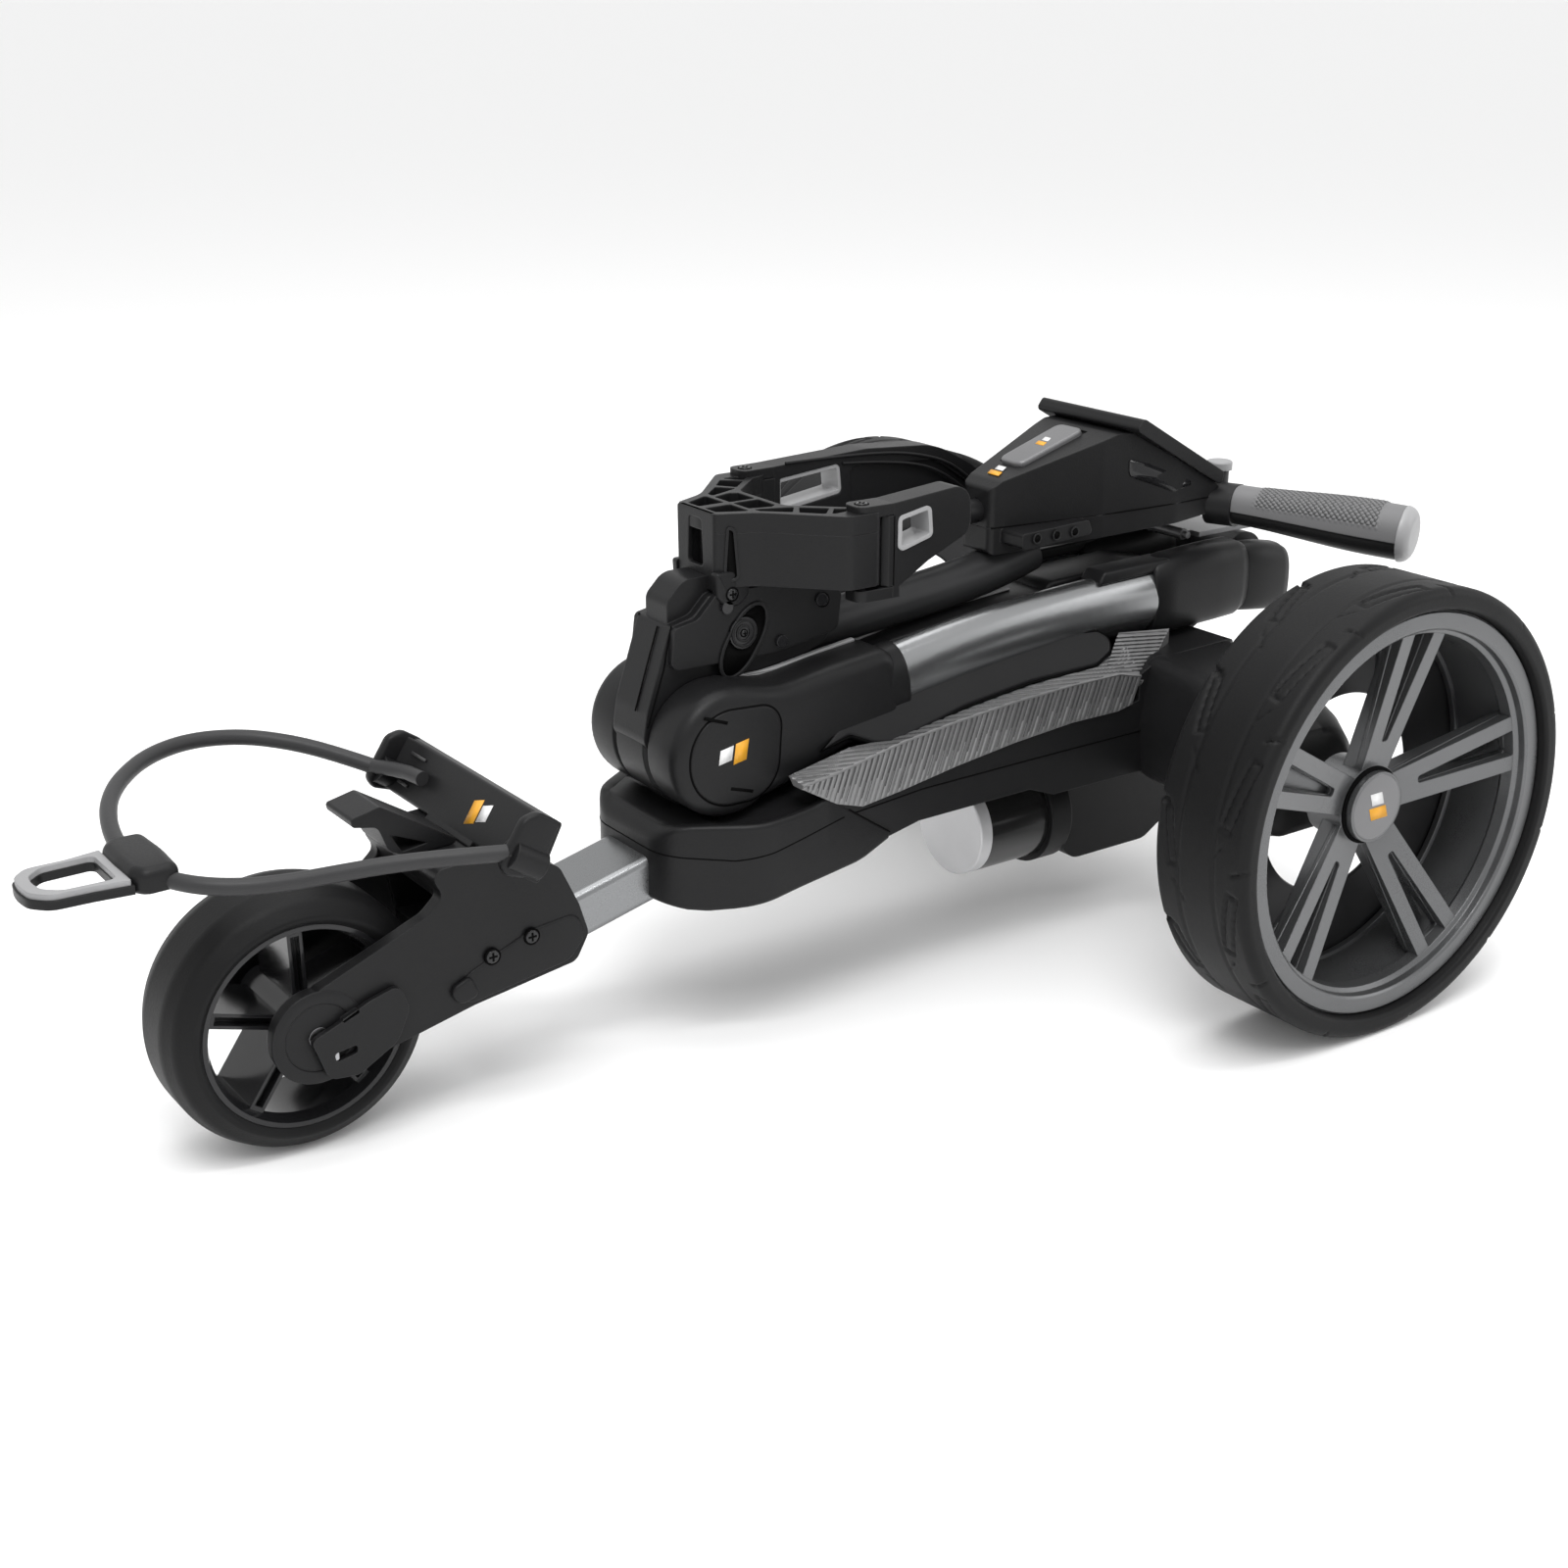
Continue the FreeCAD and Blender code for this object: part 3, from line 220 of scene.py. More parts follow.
# ---- mesh helpers ----
def mesh_piece(name, points, faces, body, slot, material=None, smooth=35, bevel=0.0, replaces=()):
    """A mesh piece from points in mm, riding on a body and finished as a slot."""
    data = bpy.data.meshes.new(name)
    data.from_pydata([mm(*point) for point in points], [], faces)
    data.validate()
    piece = bpy.data.objects.new(name, data)
    SCENE.collection.objects.link(piece)
    data.materials.append(material or FINISHES[slot])
    if bevel:
        rounding = piece.modifiers.new("rounding", "BEVEL")
        rounding.width, rounding.segments, rounding.limit_method = bevel * MM, 2, "ANGLE"
        rounding.angle_limit = math.radians(40)
    data.polygons.foreach_set("use_smooth", [True] * len(data.polygons))
    if smooth:
        data.set_sharp_from_angle(angle=math.radians(smooth))
    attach(piece, body)
    if replaces:
        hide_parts(*replaces)
    return piece


def curve_piece(name, runs, radius, body, slot="black_plastic", material=None, nurbs=False):
    """Round runs through places in mm, riding on a body and finished as a slot."""
    piece = curve_object(name, runs, radius, nurbs=nurbs)
    piece.data.materials.append(material or FINISHES[slot])
    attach(piece, body)


def rounded(points, radii, step=12.0):
    """A closed outline with arcs at its corners."""
    if isinstance(radii, (int, float)):
        radii = [radii] * len(points)
    out = []
    count = len(points)
    for i, (corner, radius) in enumerate(zip(points, radii)):
        c = Vector(corner)
        a = Vector(points[i - 1]) - c
        b = Vector(points[(i + 1) % count]) - c
        angle = a.angle(b)
        reach = radius / math.tan(angle / 2) if angle > 0.01 else 0
        reach = min(reach, a.length * 0.49, b.length * 0.49)
        if reach < 0.05 or angle > 3.12:
            out.append(tuple(c))
            continue
        radius = reach * math.tan(angle / 2)
        middle = c + (a.normalized() + b.normalized()).normalized() * (radius / math.sin(angle / 2))
        start = c + a.normalized() * reach - middle
        sweep = start.angle_signed(c + b.normalized() * reach - middle)
        parts = max(2, int(abs(math.degrees(sweep)) / step) + 1)
        for k in range(parts + 1):
            turn = -sweep * k / parts
            out.append((middle[0] + start[0] * math.cos(turn) - start[1] * math.sin(turn),
                        middle[1] + start[0] * math.sin(turn) + start[1] * math.cos(turn)))
    return out


LIFTS = {"y": lambda a, b, h: (a, h, b), "-y": lambda a, b, h: (a, -h, b), "z": lambda a, b, h: (a, b, h),
         "x": lambda a, b, h: (h, a, b)}
SIDES = (("left", 1), ("right", -1))


def outward(sign):
    """The lift whose height grows away from the middle, on the left (1) or the right (-1)."""
    return LIFTS["y"] if sign > 0 else LIFTS["-y"]


def facing_out(ring, sign):
    """The ring turned round on the right, so that its faces look outwards there too."""
    return ring if sign > 0 else ring[::-1]


def squared(value, power):
    """A sine or cosine pushed outwards, for sections between an ellipse and a rectangle."""
    return math.copysign(abs(value) ** power, value)


def plate(name, outline, low, high, body, slot="black_plastic", axis="y", holes=(), place=None, **more):
    """A flat plate, cut to an outline with holes. The outline is in xz for axis y, xy for z and yz for x."""
    loops = [list(outline)] + [list(hole) for hole in holes]
    lift = place or LIFTS[axis]
    flat = [point for loop in loops for point in loop]
    caps = tessellate_polygon([[Vector((a, b, 0)) for a, b in loop] for loop in loops])
    count = len(flat)
    points = [lift(a, b, low) for a, b in flat] + [lift(a, b, high) for a, b in flat]
    faces = []

    def area(tri):
        (ax, ay), (bx, by), (cx, cy) = (flat[i] for i in tri)
        return (bx - ax) * (cy - ay) - (by - ay) * (cx - ax)

    for tri in caps:
        tri = tuple(tri) if area(tri) > 0 else tuple(reversed(tri))
        if abs(area(tri)) > 1e-9:
            faces += [tuple(reversed(tri)), tuple(i + count for i in tri)]
    start = 0
    for number, loop in enumerate(loops):
        total = sum(a[0] * b[1] - b[0] * a[1] for a, b in zip(loop, loop[1:] + loop[:1]))
        for i in range(len(loop)):
            j = (i + 1) % len(loop)
            quad = (start + i, start + j, start + j + count, start + i + count)
            faces.append(quad if (total > 0) == (number == 0) else tuple(reversed(quad)))
        start += len(loop)
    if axis == "y" and not place:
        faces = [tuple(reversed(face)) for face in faces]
    return mesh_piece(name, points, faces, body, slot, **more)


def paint_faces(piece, material, chosen):
    """Gives a second finish to the faces whose centre, in mm, chosen() accepts."""
    piece.data.materials.append(material)
    for polygon in piece.data.polygons:
        if chosen(*(value / MM for value in polygon.center)):
            polygon.material_index = 1


def lofted(name, rings, body, slot="black_plastic", **more):
    """Skins rings of points and closes both ends. Each ring has the same number of points."""
    size = len(rings[0])
    points = [point for ring in rings for point in ring]
    faces = []
    for i in range(len(rings) - 1):
        for j in range(size):
            k = (j + 1) % size
            faces.append((i * size + j, i * size + k, (i + 1) * size + k, (i + 1) * size + j))
    faces.append(tuple(reversed(range(size))))
    faces.append(tuple(range((len(rings) - 1) * size, len(rings) * size)))
    return mesh_piece(name, points, faces, body, slot, **more)


def resampled(loop, count):
    """The closed loop as count places, evenly spaced, from its rightmost place on."""
    first = max(range(len(loop)), key=lambda k: loop[k][0])
    loop = loop[first:] + loop[:first]
    lengths = [math.dist(a, b) for a, b in zip(loop, loop[1:] + loop[:1])]
    total, out, k, passed = sum(lengths), [], 0, 0.0
    for number in range(count):
        want = total * number / count
        while passed + lengths[k] < want:
            passed += lengths[k]
            k += 1
        t = (want - passed) / lengths[k] if lengths[k] else 0.0
        (x0, z0), (x1, z1) = loop[k], loop[(k + 1) % len(loop)]
        out.append((x0 + (x1 - x0) * t, z0 + (z1 - z0) * t))
    return out


def disc_points(x, z, radius, count=48):
    return [(x + radius * math.cos(math.tau * k / count), z + radius * math.sin(math.tau * k / count))
            for k in range(count)]


def both_sides(make):
    """Makes a piece on the left (+Y) and its mirror on the right."""
    for side, sign in SIDES:
        make(side, sign)


# ---- rear tyres ----
WHEEL_X, WHEEL_Z, WHEEL_R, RIM_R = -276.0, 145.0, 145.0, 130.0
TYRE_IN, TYRE_OUT = 209.0, 282.0
TREAD_EDGE = WHEEL_R - 13                           # the tread is cut outside this radius


def tyre_profile():
    """(radius, y) from the inner bead over the tread to the outer bead."""
    corners = [(RIM_R + 0.5, TYRE_IN + 5), (RIM_R + 6, TYRE_IN), (WHEEL_R, TYRE_IN), (WHEEL_R, TYRE_OUT),
               (RIM_R + 2, TYRE_OUT), (RIM_R + 0.5, TYRE_OUT - 6)]
    outline = rounded(corners, [0, 3, 11, 19, 3, 0], step=6)
    dense = []
    for (r0, y0), (r1, y1) in zip(outline, outline[1:]):
        parts = max(1, int(math.hypot(r1 - r0, y1 - y0) / 1.3))
        dense += [(r0 + (r1 - r0) * k / parts, y0 + (y1 - y0) * k / parts) for k in range(parts)]
    return dense + [outline[-1]]


def lozenge(u, v, length, width, lean):
    """1 inside a leaning slot with soft walls, 0 outside."""
    along = u * math.cos(lean) + v * math.sin(lean)
    across = -u * math.sin(lean) + v * math.cos(lean)
    inside = min((length - abs(along)) / 1.6, (width - abs(across)) / 1.0)
    return max(0.0, min(1.0, inside))


def tread_depth(theta, y):
    """How far the tread is cut in at a place: two lines round it, outlined lozenges and small notches."""
    cut = 0.0
    for line in (TYRE_IN + 20, TYRE_IN + 49):
        cut = max(cut, 0.9 * max(0.0, 1 - abs(y - line) / 1.8))
    pitch = math.tau / 11
    for shift, y_mid, lean, length, width, depth in (
            (0.0, 268.5, 0.20, 24.0, 5.2, 1.5), (0.45, 221.0, -0.20, 20.0, 4.4, 1.5),
            (0.42, 262.0, 0.60, 7.5, 0.9, 1.4), (0.86, 229.0, -0.55, 8.0, 0.9, 1.4),
            (0.55, 277.0, 1.2, 6.0, 1.3, 1.6), (0.20, 212.0, -1.3, 7.0, 2.6, 2.6)):
        u = ((theta / pitch + shift) % 1 - 0.5) * pitch * WHEEL_R
        outer = lozenge(u, y - y_mid, length, width, lean)
        if width > 4:
            outer -= 0.75 * lozenge(u, y - y_mid, length - 2.6, width - 1.9, lean)
        cut = max(cut, depth * outer)
    return cut


def rear_tyre(side, sign):
    profile = tyre_profile()
    turns = 640
    rings = []
    for k in range(turns):
        theta = math.tau * k / turns
        ring = []
        for r, y in profile:
            deep = tread_depth(theta, y) if r > TREAD_EDGE else 0.0
            deep *= max(0.0, min(1.0, (r - WHEEL_R + 13) / 6))
            ring.append((WHEEL_X + (r - deep) * math.cos(theta), sign * y,
                         WHEEL_Z + (r - deep) * math.sin(theta)))
        rings.append(ring)
    size = len(profile)
    faces = []
    for i in range(turns):
        for j in range(size):
            k, n = (j + 1) % size, (i + 1) % turns
            quad = (i * size + j, n * size + j, n * size + k, i * size + k)
            faces.append(quad if sign > 0 else tuple(reversed(quad)))
    points = [point for ring in rings for point in ring]
    mesh_piece(side + "_tyre_tread", points, faces, side + "_wheel", "tyre_black", smooth=50,
               replaces=[side + "_tyre"])


both_sides(rear_tyre)

# ---- ribbed side trims ----
TRIM = [                                           # x, inner top, ridge, lower edge
    (34, 173, 171, 168), (8, 178, 174, 153), (-12, 182, 178, 147), (-43, 181, 184, 151),
    (-87, 187, 189, 158), (-135, 193, 193, 164), (-185, 198, 195, 168), (-226, 202, 195, 168),
    (-246, 207, 190, 172)]
RIB_PITCH, UPPER_PITCH, RIB_DEPTH = 4.2, 2.6, 0.8
RIB_LEAN = 0.344                                   # how far a lower rib runs forward for each mm down
RING_STEP = 0.58


def trim_at(x):
    """(inner top, ridge, lower edge) at x."""
    for (x0, *a), (x1, *b) in zip(TRIM, TRIM[1:]):
        if x >= x1:
            t = max(0.0, min(1.0, (x0 - x) / (x0 - x1)))
            return [p + (q - p) * t for p, q in zip(a, b)]
    return list(TRIM[-1][1:])


def lower_phase(x, z):
    return (x + RIB_LEAN * z) / RIB_PITCH


def upper_phase(x, y, z):
    return (0.118 * x + 0.343 * y - 0.937 * z) / UPPER_PITCH


def rib(phase):
    """Height of a rib at a phase: a rounded top over a narrow groove."""
    wave = abs(2 * (phase % 1.0) - 1)
    return RIB_DEPTH * (1 - max(0.0, (wave - 0.45) / 0.55) ** 1.5)


def in_groove(phase):
    return abs(2 * (phase % 1.0) - 1) > 0.66


def side_trim_piece(side, sign):
    rings = []
    x = TRIM[0][0]
    while x >= TRIM[-1][0]:
        top, ridge, low = trim_at(x)
        ring = []
        for k in range(27):                         # upper band, from the inner edge to the ridge
            t = k / 26
            z, y = top + (ridge - top) * t, 60 + 15 * t
            lift = rib(upper_phase(x, y, z)) if 0 < k < 26 else RIB_DEPTH * 0.4
            ring.append((x, sign * y, z + lift - RIB_DEPTH))
        ring += [(x, sign * 75.6, ridge + 0.25), (x, sign * 76, ridge - 0.6)]
        foot = x
        for _ in range(4):                          # the lower ribs lean, so their foot is further forward
            low = trim_at(foot)[2]
            foot = x + RIB_LEAN * (ridge - 1.6 - low)
        for k in range(13):                         # lower band, from the ridge to the lower edge
            t = k / 12
            z, y = ridge - 1.6 + (low - ridge + 1.6) * t, 76 - 0.5 * t
            lift = rib(lower_phase(x, ridge - 1.6)) if 0 < k < 12 else RIB_DEPTH * 0.4
            ring.append((x + (foot - x) * t, sign * (y + lift - RIB_DEPTH), z))
        ring += [(foot, sign * 66, low), (foot, sign * 62, low + 4)]
        rings.append(facing_out(ring, sign))
        x -= RING_STEP
    band = lofted(side + "_trim_band", rings, FRAME_BODY, "ribbed_trim", smooth=30)

    def band_groove_shade(x, y, z):
        top, ridge, low = trim_at(x)
        if abs(y) > 75.2 and z < ridge - 1.8:
            return z > low + 0.6 and in_groove(lower_phase(x, z))
        return 60.5 < abs(y) < 74.4 and z > low + 5 and in_groove(upper_phase(x, abs(y), z))

    # faces in the rib grooves are painted darker: painted shade in the grooves
    paint_faces(band, SHADED_GROOVE, band_groove_shade)
    corners = [Vector((-214, 75, 193.5)), Vector((-247.5, 75, 184.5)), Vector((-291, 54, 210)),
               Vector((-243, 54, 215))]
    normal = (corners[3] - corners[0]).cross(corners[1] - corners[0]).normalized()
    normal = normal if normal.z > 0 else -normal
    columns = []
    for k in range(61):
        s = k / 60
        column = []
        for j in range(97):
            t = j / 96
            foot = corners[0] * (1 - s) + corners[1] * s
            head = corners[3] * (1 - s) + corners[2] * s
            place = foot * (1 - t) + head * t
            bow = Vector((2.5, 0, -2.5)) * 4 * t * (1 - t) * (1 - s)
            place = place + bow
            if 0 < j < 96 and 0 < k < 60:
                place = place + normal * (rib(upper_phase(*place)) - RIB_DEPTH)
            column.append((place.x, sign * place.y, place.z))
        column += [(column[-1][0], sign * 54, 182), (column[0][0], sign * 73.5, 182)]
        columns.append(facing_out(column, sign))
    fin = lofted(side + "_trim_fin", columns, FRAME_BODY, "ribbed_trim", smooth=30)
    # faces in the rib grooves are painted darker: painted shade in the grooves
    paint_faces(fin, SHADED_GROOVE, lambda x, y,
                z: 55 < abs(y) < 74.6 and z > 184 and in_groove(upper_phase(x, abs(y), z)))


both_sides(side_trim_piece)
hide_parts("side_trims")

# ---- rounded plates ----
def inset_loop(loop, amount):
    """The loop moved inward by amount, along its corner normals."""
    total = sum(a[0] * b[1] - b[0] * a[1] for a, b in zip(loop, loop[1:] + loop[:1]))
    turn = 1 if total > 0 else -1
    out = []
    for i, point in enumerate(loop):
        a, b = Vector(loop[i - 1]), Vector(loop[(i + 1) % len(loop)])
        p = Vector(point)
        first, second = (p - a).normalized(), (b - p).normalized()
        normal = Vector((-(first[1] + second[1]), first[0] + second[0])) * turn
        if normal.length < 1e-6:
            out.append(point)
            continue
        normal.normalize()
        side = Vector((-first[1], first[0])) * turn
        out.append(tuple(p + normal * amount / max(0.5, normal.dot(side))))
    return out


def cushion(name, outline, low, high, body, slot="black_plastic", axis="y", top=2.0, bottom=0.0, steps=4,
            place=None, **more):
    """A plate whose edges are rounded over: by top at its high face and by bottom at its low face."""
    lift = place or LIFTS[axis]
    rings = []
    if bottom:
        for k in range(steps + 1):
            angle = math.pi / 2 * k / steps
            rings.append((bottom * (1 - math.sin(angle)), low + bottom * (1 - math.cos(angle))))
    else:
        rings.append((0.0, low))
    for k in range(steps + 1):
        angle = math.pi / 2 * k / steps
        rings.append((top * (1 - math.cos(angle)), high - top + top * math.sin(angle)))
    made = [[lift(a, b, h) for a, b in inset_loop(outline, amount)] for amount, h in rings]
    return lofted(name, made, body, slot, **more)


def ring_piece(name, profile, x, z, lift, body, slot="black_plastic", turns=120, **more):
    """A profile of (radius, height) turned about a wheel's axis."""
    rings = []
    for k in range(turns):
        angle = math.tau * k / turns
        rings.append([lift(x + r * math.cos(angle), z + r * math.sin(angle), h) for r, h in profile])
    size = len(profile)
    faces = [(i * size + j, (i + 1) % turns * size + j, (i + 1) % turns * size + (j + 1) % size,
              i * size + (j + 1) % size) for i in range(turns) for j in range(size)]
    return mesh_piece(name, [p for ring in rings for p in ring], faces, body, slot, **more)


def seam_plate(name, outline, low, high, body, slot="black_plastic", **more):
    """A thin flat plate in near-black, for dark joints too fine to cut and for painted shade in slots,
    recesses and cuts.
    """
    plate(name, outline, low, high, body, slot, material=SEAM_AND_SHADE_DARK, smooth=0, **more)


def mark(name, centre, size, body, lift, turn=0.0, gap=1.6, slant=0.35):
    """Two plain leaning stripes, white and orange, on a face. lift maps (a, b, height) to the row frame."""
    long, wide = size
    for tag, finish, shift, tip in (("white", WHITE, -1, long / 5), ("orange", ORANGE, 1, long / 2)):
        across = shift * (wide / 2 + gap / 2)
        corners = [(-long / 2, across - wide / 2), (tip, across - wide / 2),
                   (tip + wide * slant, across + wide / 2), (-long / 2 + wide * slant, across + wide / 2)]
        loop = [(centre[0] + a * math.cos(turn) - b * math.sin(turn),
                 centre[1] + a * math.sin(turn) + b * math.cos(turn)) for a, b in corners]
        plate(name + "_" + tag, loop, -0.2, 0.25, body, "badge_grey", material=finish, place=lift, smooth=0)


def slotted(name, x, y, z, radius, body, axis=(0, 1, 0), slot="steel"):
    """A cross-head screw: a dark ring round a domed head, and a near-black cross on the head as painted shade
    for the cross cut.
    """
    n = Vector(axis).normalized()
    u = n.cross(Vector((0, 0, 1)) if abs(n[2]) < 0.9 else Vector((1, 0, 0))).normalized()
    v = n.cross(u)
    lift = lambda a, b, h: tuple(Vector((x, y, z)) + u * a + v * b + n * h)
    seam_plate(name + "_ring", disc_points(0, 0, radius, 28), -1.0, 0.25, body, slot, place=lift)
    cushion(name + "_head", disc_points(0, 0, radius * 0.8, 28), -1.0, 0.7, body, slot, place=lift, top=0.7,
            material=FINISHES["black_gloss"])
    arm, half = radius * 0.52, radius * 0.12
    cross = [(half, half), (arm, half), (arm, -half), (half, -half), (half, -arm), (-half, -arm),
             (-half, -half), (-arm, -half), (-arm, half), (-half, half), (-half, arm), (half, arm)]
    # the cross cut is a near-black cross laid on the head: painted shade
    seam_plate(name + "_cross", cross, 0.5, 0.85, body, slot, place=lift)


# ---- arm bosses and sleeves ----
HINGE_X, HINGE_Z, BOSS_R = 69.0, 191.0, 41.0


def boss_outline():
    arc = [(HINGE_X + BOSS_R * math.cos(math.radians(a)), HINGE_Z + BOSS_R * math.sin(math.radians(a)))
           for a in range(-125, 100, 6)]
    neck = rounded([(62, 232), (30, 226), (-8, 232), (-55, 237), (-62, 186), (-18, 177), (30, 161)],
                   [0, 60, 60, 12, 12, 60, 0])
    return arc + neck


def arm_boss(side, sign):
    lift = outward(sign)
    cushion(side + "_boss", boss_outline(), 18.5, 53, "folding_arms", place=lift, top=9.5,
            bottom=3, steps=6, replaces=[side + "_arm_boss"])
    face = rounded([(HINGE_X + 34, HINGE_Z - 33), (HINGE_X - 34, HINGE_Z - 34), (HINGE_X - 38, HINGE_Z + 29),
                    (HINGE_X + 33, HINGE_Z + 33)], [33, 26, 18, 33], step=6)
    seam_plate(side + "_cap_gap", inset_loop(face, 1.4), 52.7, 53.08, "folding_arms", place=lift)
    cushion(side + "_cap", inset_loop(face, 2.6), 52.5, 54.0, "folding_arms", place=lift, top=1.2)
    # the notches are near-black sheets on the cap: painted shade in the slots
    for number, (a, b, lean) in enumerate(((82, 215.5, 0.35), (64, 168, 0.3))):
        notch = [(-8.5, -1.0), (8.5, -1.0), (8.5, 1.0), (-8.5, 1.0)]
        loop = [(a + p * math.cos(lean) - q * math.sin(lean), b + p * math.sin(lean) + q * math.cos(lean))
                for p, q in notch]
        seam_plate(f"{side}_cap_slot_{number}", loop, 53.0, 54.12, "folding_arms", place=lift)
    mark(side + "_boss_mark", (70, 192), (13, 9), "folding_arms", lambda a, b, h: lift(a, b, h + 54.0),
         turn=math.pi / 2 + 0.15)
    rings = []
    for along, half, low_y in ((-12, 24.2, 16.8), (14.0, 24.8, 17.2), (15.6, 24.6, 17.0), (16.2, 23.8, 16.2),
                               (16.3, 22.6, 15.1)):
        ring = []
        for k in range(72):
            c, t = math.cos(math.tau * k / 72), math.sin(math.tau * k / 72)
            up = half * squared(t, 0.9)
            x, z = -50 - along * 0.989 + up * 0.147, 209 + along * 0.147 + up * 0.989
            ring.append((x, sign * (36 + low_y * squared(c, 0.9)), z))
        rings.append(facing_out(ring, sign))
    lofted(side + "_neck_collar", rings, "folding_arms", smooth=50)
    for part, line, half_y in (
            ("sleeve", [(-281, 229, 24), (-284, 229, 27.2), (-300, 230.5, 27.6), (-340, 232, 27.8),
                        (-362, 232.6, 27.4),
                        (-369, 232.8, 24.5), (-370.5, 232.8, 20)], 16.6),
            ("sleeve_stub", [(-366, 231, 20), (-372, 231, 24.4), (-392, 229, 25), (-407, 227, 24.4),
                             (-413, 226, 22), (-415, 226, 17)],
             14.8)):
        rings = []
        for x, z, half in line:
            ring = []
            for k in range(64):
                c, s = math.cos(math.tau * k / 64), math.sin(math.tau * k / 64)
                wide = (half_y + (half - line[2][2]) * 0.5) * squared(c, 0.62)
                ring.append((x, sign * (35.6 + wide), z + half * squared(s, 0.72)))
            rings.append(facing_out(ring, sign))
        lofted(f"{side}_{part}", rings, "folding_arms", smooth=50)


both_sides(arm_boss)
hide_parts("boss_caps")
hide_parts("rear_sleeves")

# ---- rear rim pockets, lips and hub caps ----
def rim_details(side, sign):
    body = side + "_wheel"
    lift = outward(sign)
    for k in range(5):
        angle = math.radians(24 + 72 * k)

        def spin(a, b, h, angle=angle):
            return lift(WHEEL_X + a * math.cos(angle) - b * math.sin(angle),
                        WHEEL_Z + a * math.sin(angle) + b * math.cos(angle), h)

        floor = [(38, -4.5), (116, -12), (116, 12), (38, 4.5)]
        plate(f"{side}_pocket_floor_{k}", floor, 244.0, 247.0, body, "rim_grey", place=spin)
        wall = rounded([(40.5, -3.6), (115.5, -10.8), (115.5, 10.8), (40.5, 3.6)], 2.5)
        hole = rounded([(43, -2.0), (113.5, -8.8), (113.5, 8.8), (43, 2.0)], 2.0)
        tilt = lambda a, b, h, spin=spin: spin(a, b, h + (a - 40) * 0.165)
        plate(f"{side}_pocket_rim_{k}", wall, 248.2, 250.4, body, "rim_grey", place=tilt, holes=[hole],
              bevel=0.5)
        edge = [[(24, 12.2), (112, 19.6)], [(24, -12.2), (112, -19.6)]]
        for number, ((a0, b0), (a1, b1)) in enumerate(edge):
            strip = [(a0, b0 - 1.1), (a1, b1 - 1.1), (a1, b1 + 0.2), (a0, b0 + 0.2)]
            if number:
                strip = [(a, b + 0.9) for a, b in strip]
            plate(f"{side}_spoke_edge_{k}_{number}", strip, 247.0, 250.0, body, "rim_grey", place=tilt,
                  bevel=0.4)
    steps = [(RIM_R - 0.4, 275.2), (RIM_R - 1.2, 276.6), (RIM_R - 10.5, 276.6), (RIM_R - 12, 275.4),
             (RIM_R - 12.6, 271), (RIM_R - 15.4, 269.4), (RIM_R - 16.4, 262), (RIM_R - 13, 258),
             (RIM_R - 4, 262)]
    ring_piece(side + "_rim_lip", steps, WHEEL_X, WHEEL_Z, lift, body, "rim_grey")
    # the inner web takes the darker tube finish instead of the rim grey: painted shade inside the wheel
    ring_piece(side + "_inner_web",
               [(118, 214), (90, 217), (66, 221), (65, 222.5), (66, 224), (90, 221),
                (118, 218)], WHEEL_X, WHEEL_Z, lift,
               body, "rim_grey", material=FINISHES["dark_tube"])
    inner = [(RIM_R - 13.6, 219), (RIM_R - 16.2, 220), (RIM_R - 16.2, 224), (RIM_R - 13.6, 225)]
    ring_piece(side + "_rim_bead", inner, WHEEL_X, WHEEL_Z, lift, body, "rim_grey")
    cushion(side + "_cap_dome", disc_points(WHEEL_X, WHEEL_Z, 22, 64), 253, 256.6, body, "badge_grey",
            place=lift,
            top=1.6)
    ring_piece(side + "_cap_gap_ring", [(25.2, 250.2), (22.6, 250.2), (22.6, 252.2), (25.2, 251)], WHEEL_X,
               WHEEL_Z,
               lift, body, "rim_grey", material=SEAM_AND_SHADE_DARK)
    mark(side + "_hub_mark", (WHEEL_X, WHEEL_Z + 1), (15, 8), body, lambda a, b, h: lift(a, b, h + 256.6),
         turn=math.pi)


both_sides(rim_details)

# ---- bag bracket: thin ribs over open cells, a front window and side flutes ----
PIVOT_X, PIVOT_Y = -18.0, 62.0


def mirrored_loop(half):
    """A plan outline from its +Y half, listed from the front to the back."""
    return half + [(x, -y) for x, y in reversed(half)]


bracket_half = rounded([(60, 0), (60, 20), (36, 31), (-2, 72), (-28, 72), (-30, 54), (-16, 50), (12, 24),
                        (12, 0)],
                       [0, 5, 34, 9, 8, 8, 6, 12, 0], step=8)
top_cells = []
for sign in (1, -1):
    for cell in ([(55.5, 3), (55.5, 15.5), (37, 24.5), (37, 3)],
                 [(34, 1.5), (34, 19), (20, 23), (15.5, 20), (15.5, 1.5)],
                 [(32.5, 28.5), (33.5, 22), (21, 26.5), (9.5, 31), (18, 42)],
                 [(15.5, 45), (7.5, 33.5), (-6, 46), (4.5, 57)],
                 [(2.5, 60), (-7.5, 48.5), (-14, 53), (-9, 59)]):
        top_cells.append(rounded([(x, sign * y) for x, y in cell], 1.5))
plate("bracket_top", mirrored_loop(bracket_half), 319, 331, "upper_frame", axis="z", holes=top_cells,
      bevel=0.6, replaces=["bag_bracket"])
bracket_low = rounded([(60, 9.5), (60, 20), (36, 31), (-2, 72), (-28, 72), (-30, 54), (-16, 50), (12, 24),
                       (12, 0)],
                      [0, 5, 34, 9, 8, 8, 6, 12, 0], step=8)
plate("bracket_body", mirrored_loop([(50, 0), (50, 9.5)] + bracket_low), 286, 319.2, "upper_frame",
      axis="z", bevel=0.4)
window = rounded([(-8.5, 297), (8.5, 297), (7, 326), (-7, 326)], 3)
plate("bracket_front", rounded([(-19, 284), (19, 284), (19.5, 331), (-19.5, 331)], 2), 57.5, 60.4,
      "upper_frame", axis="x", holes=[window], bevel=0.6)
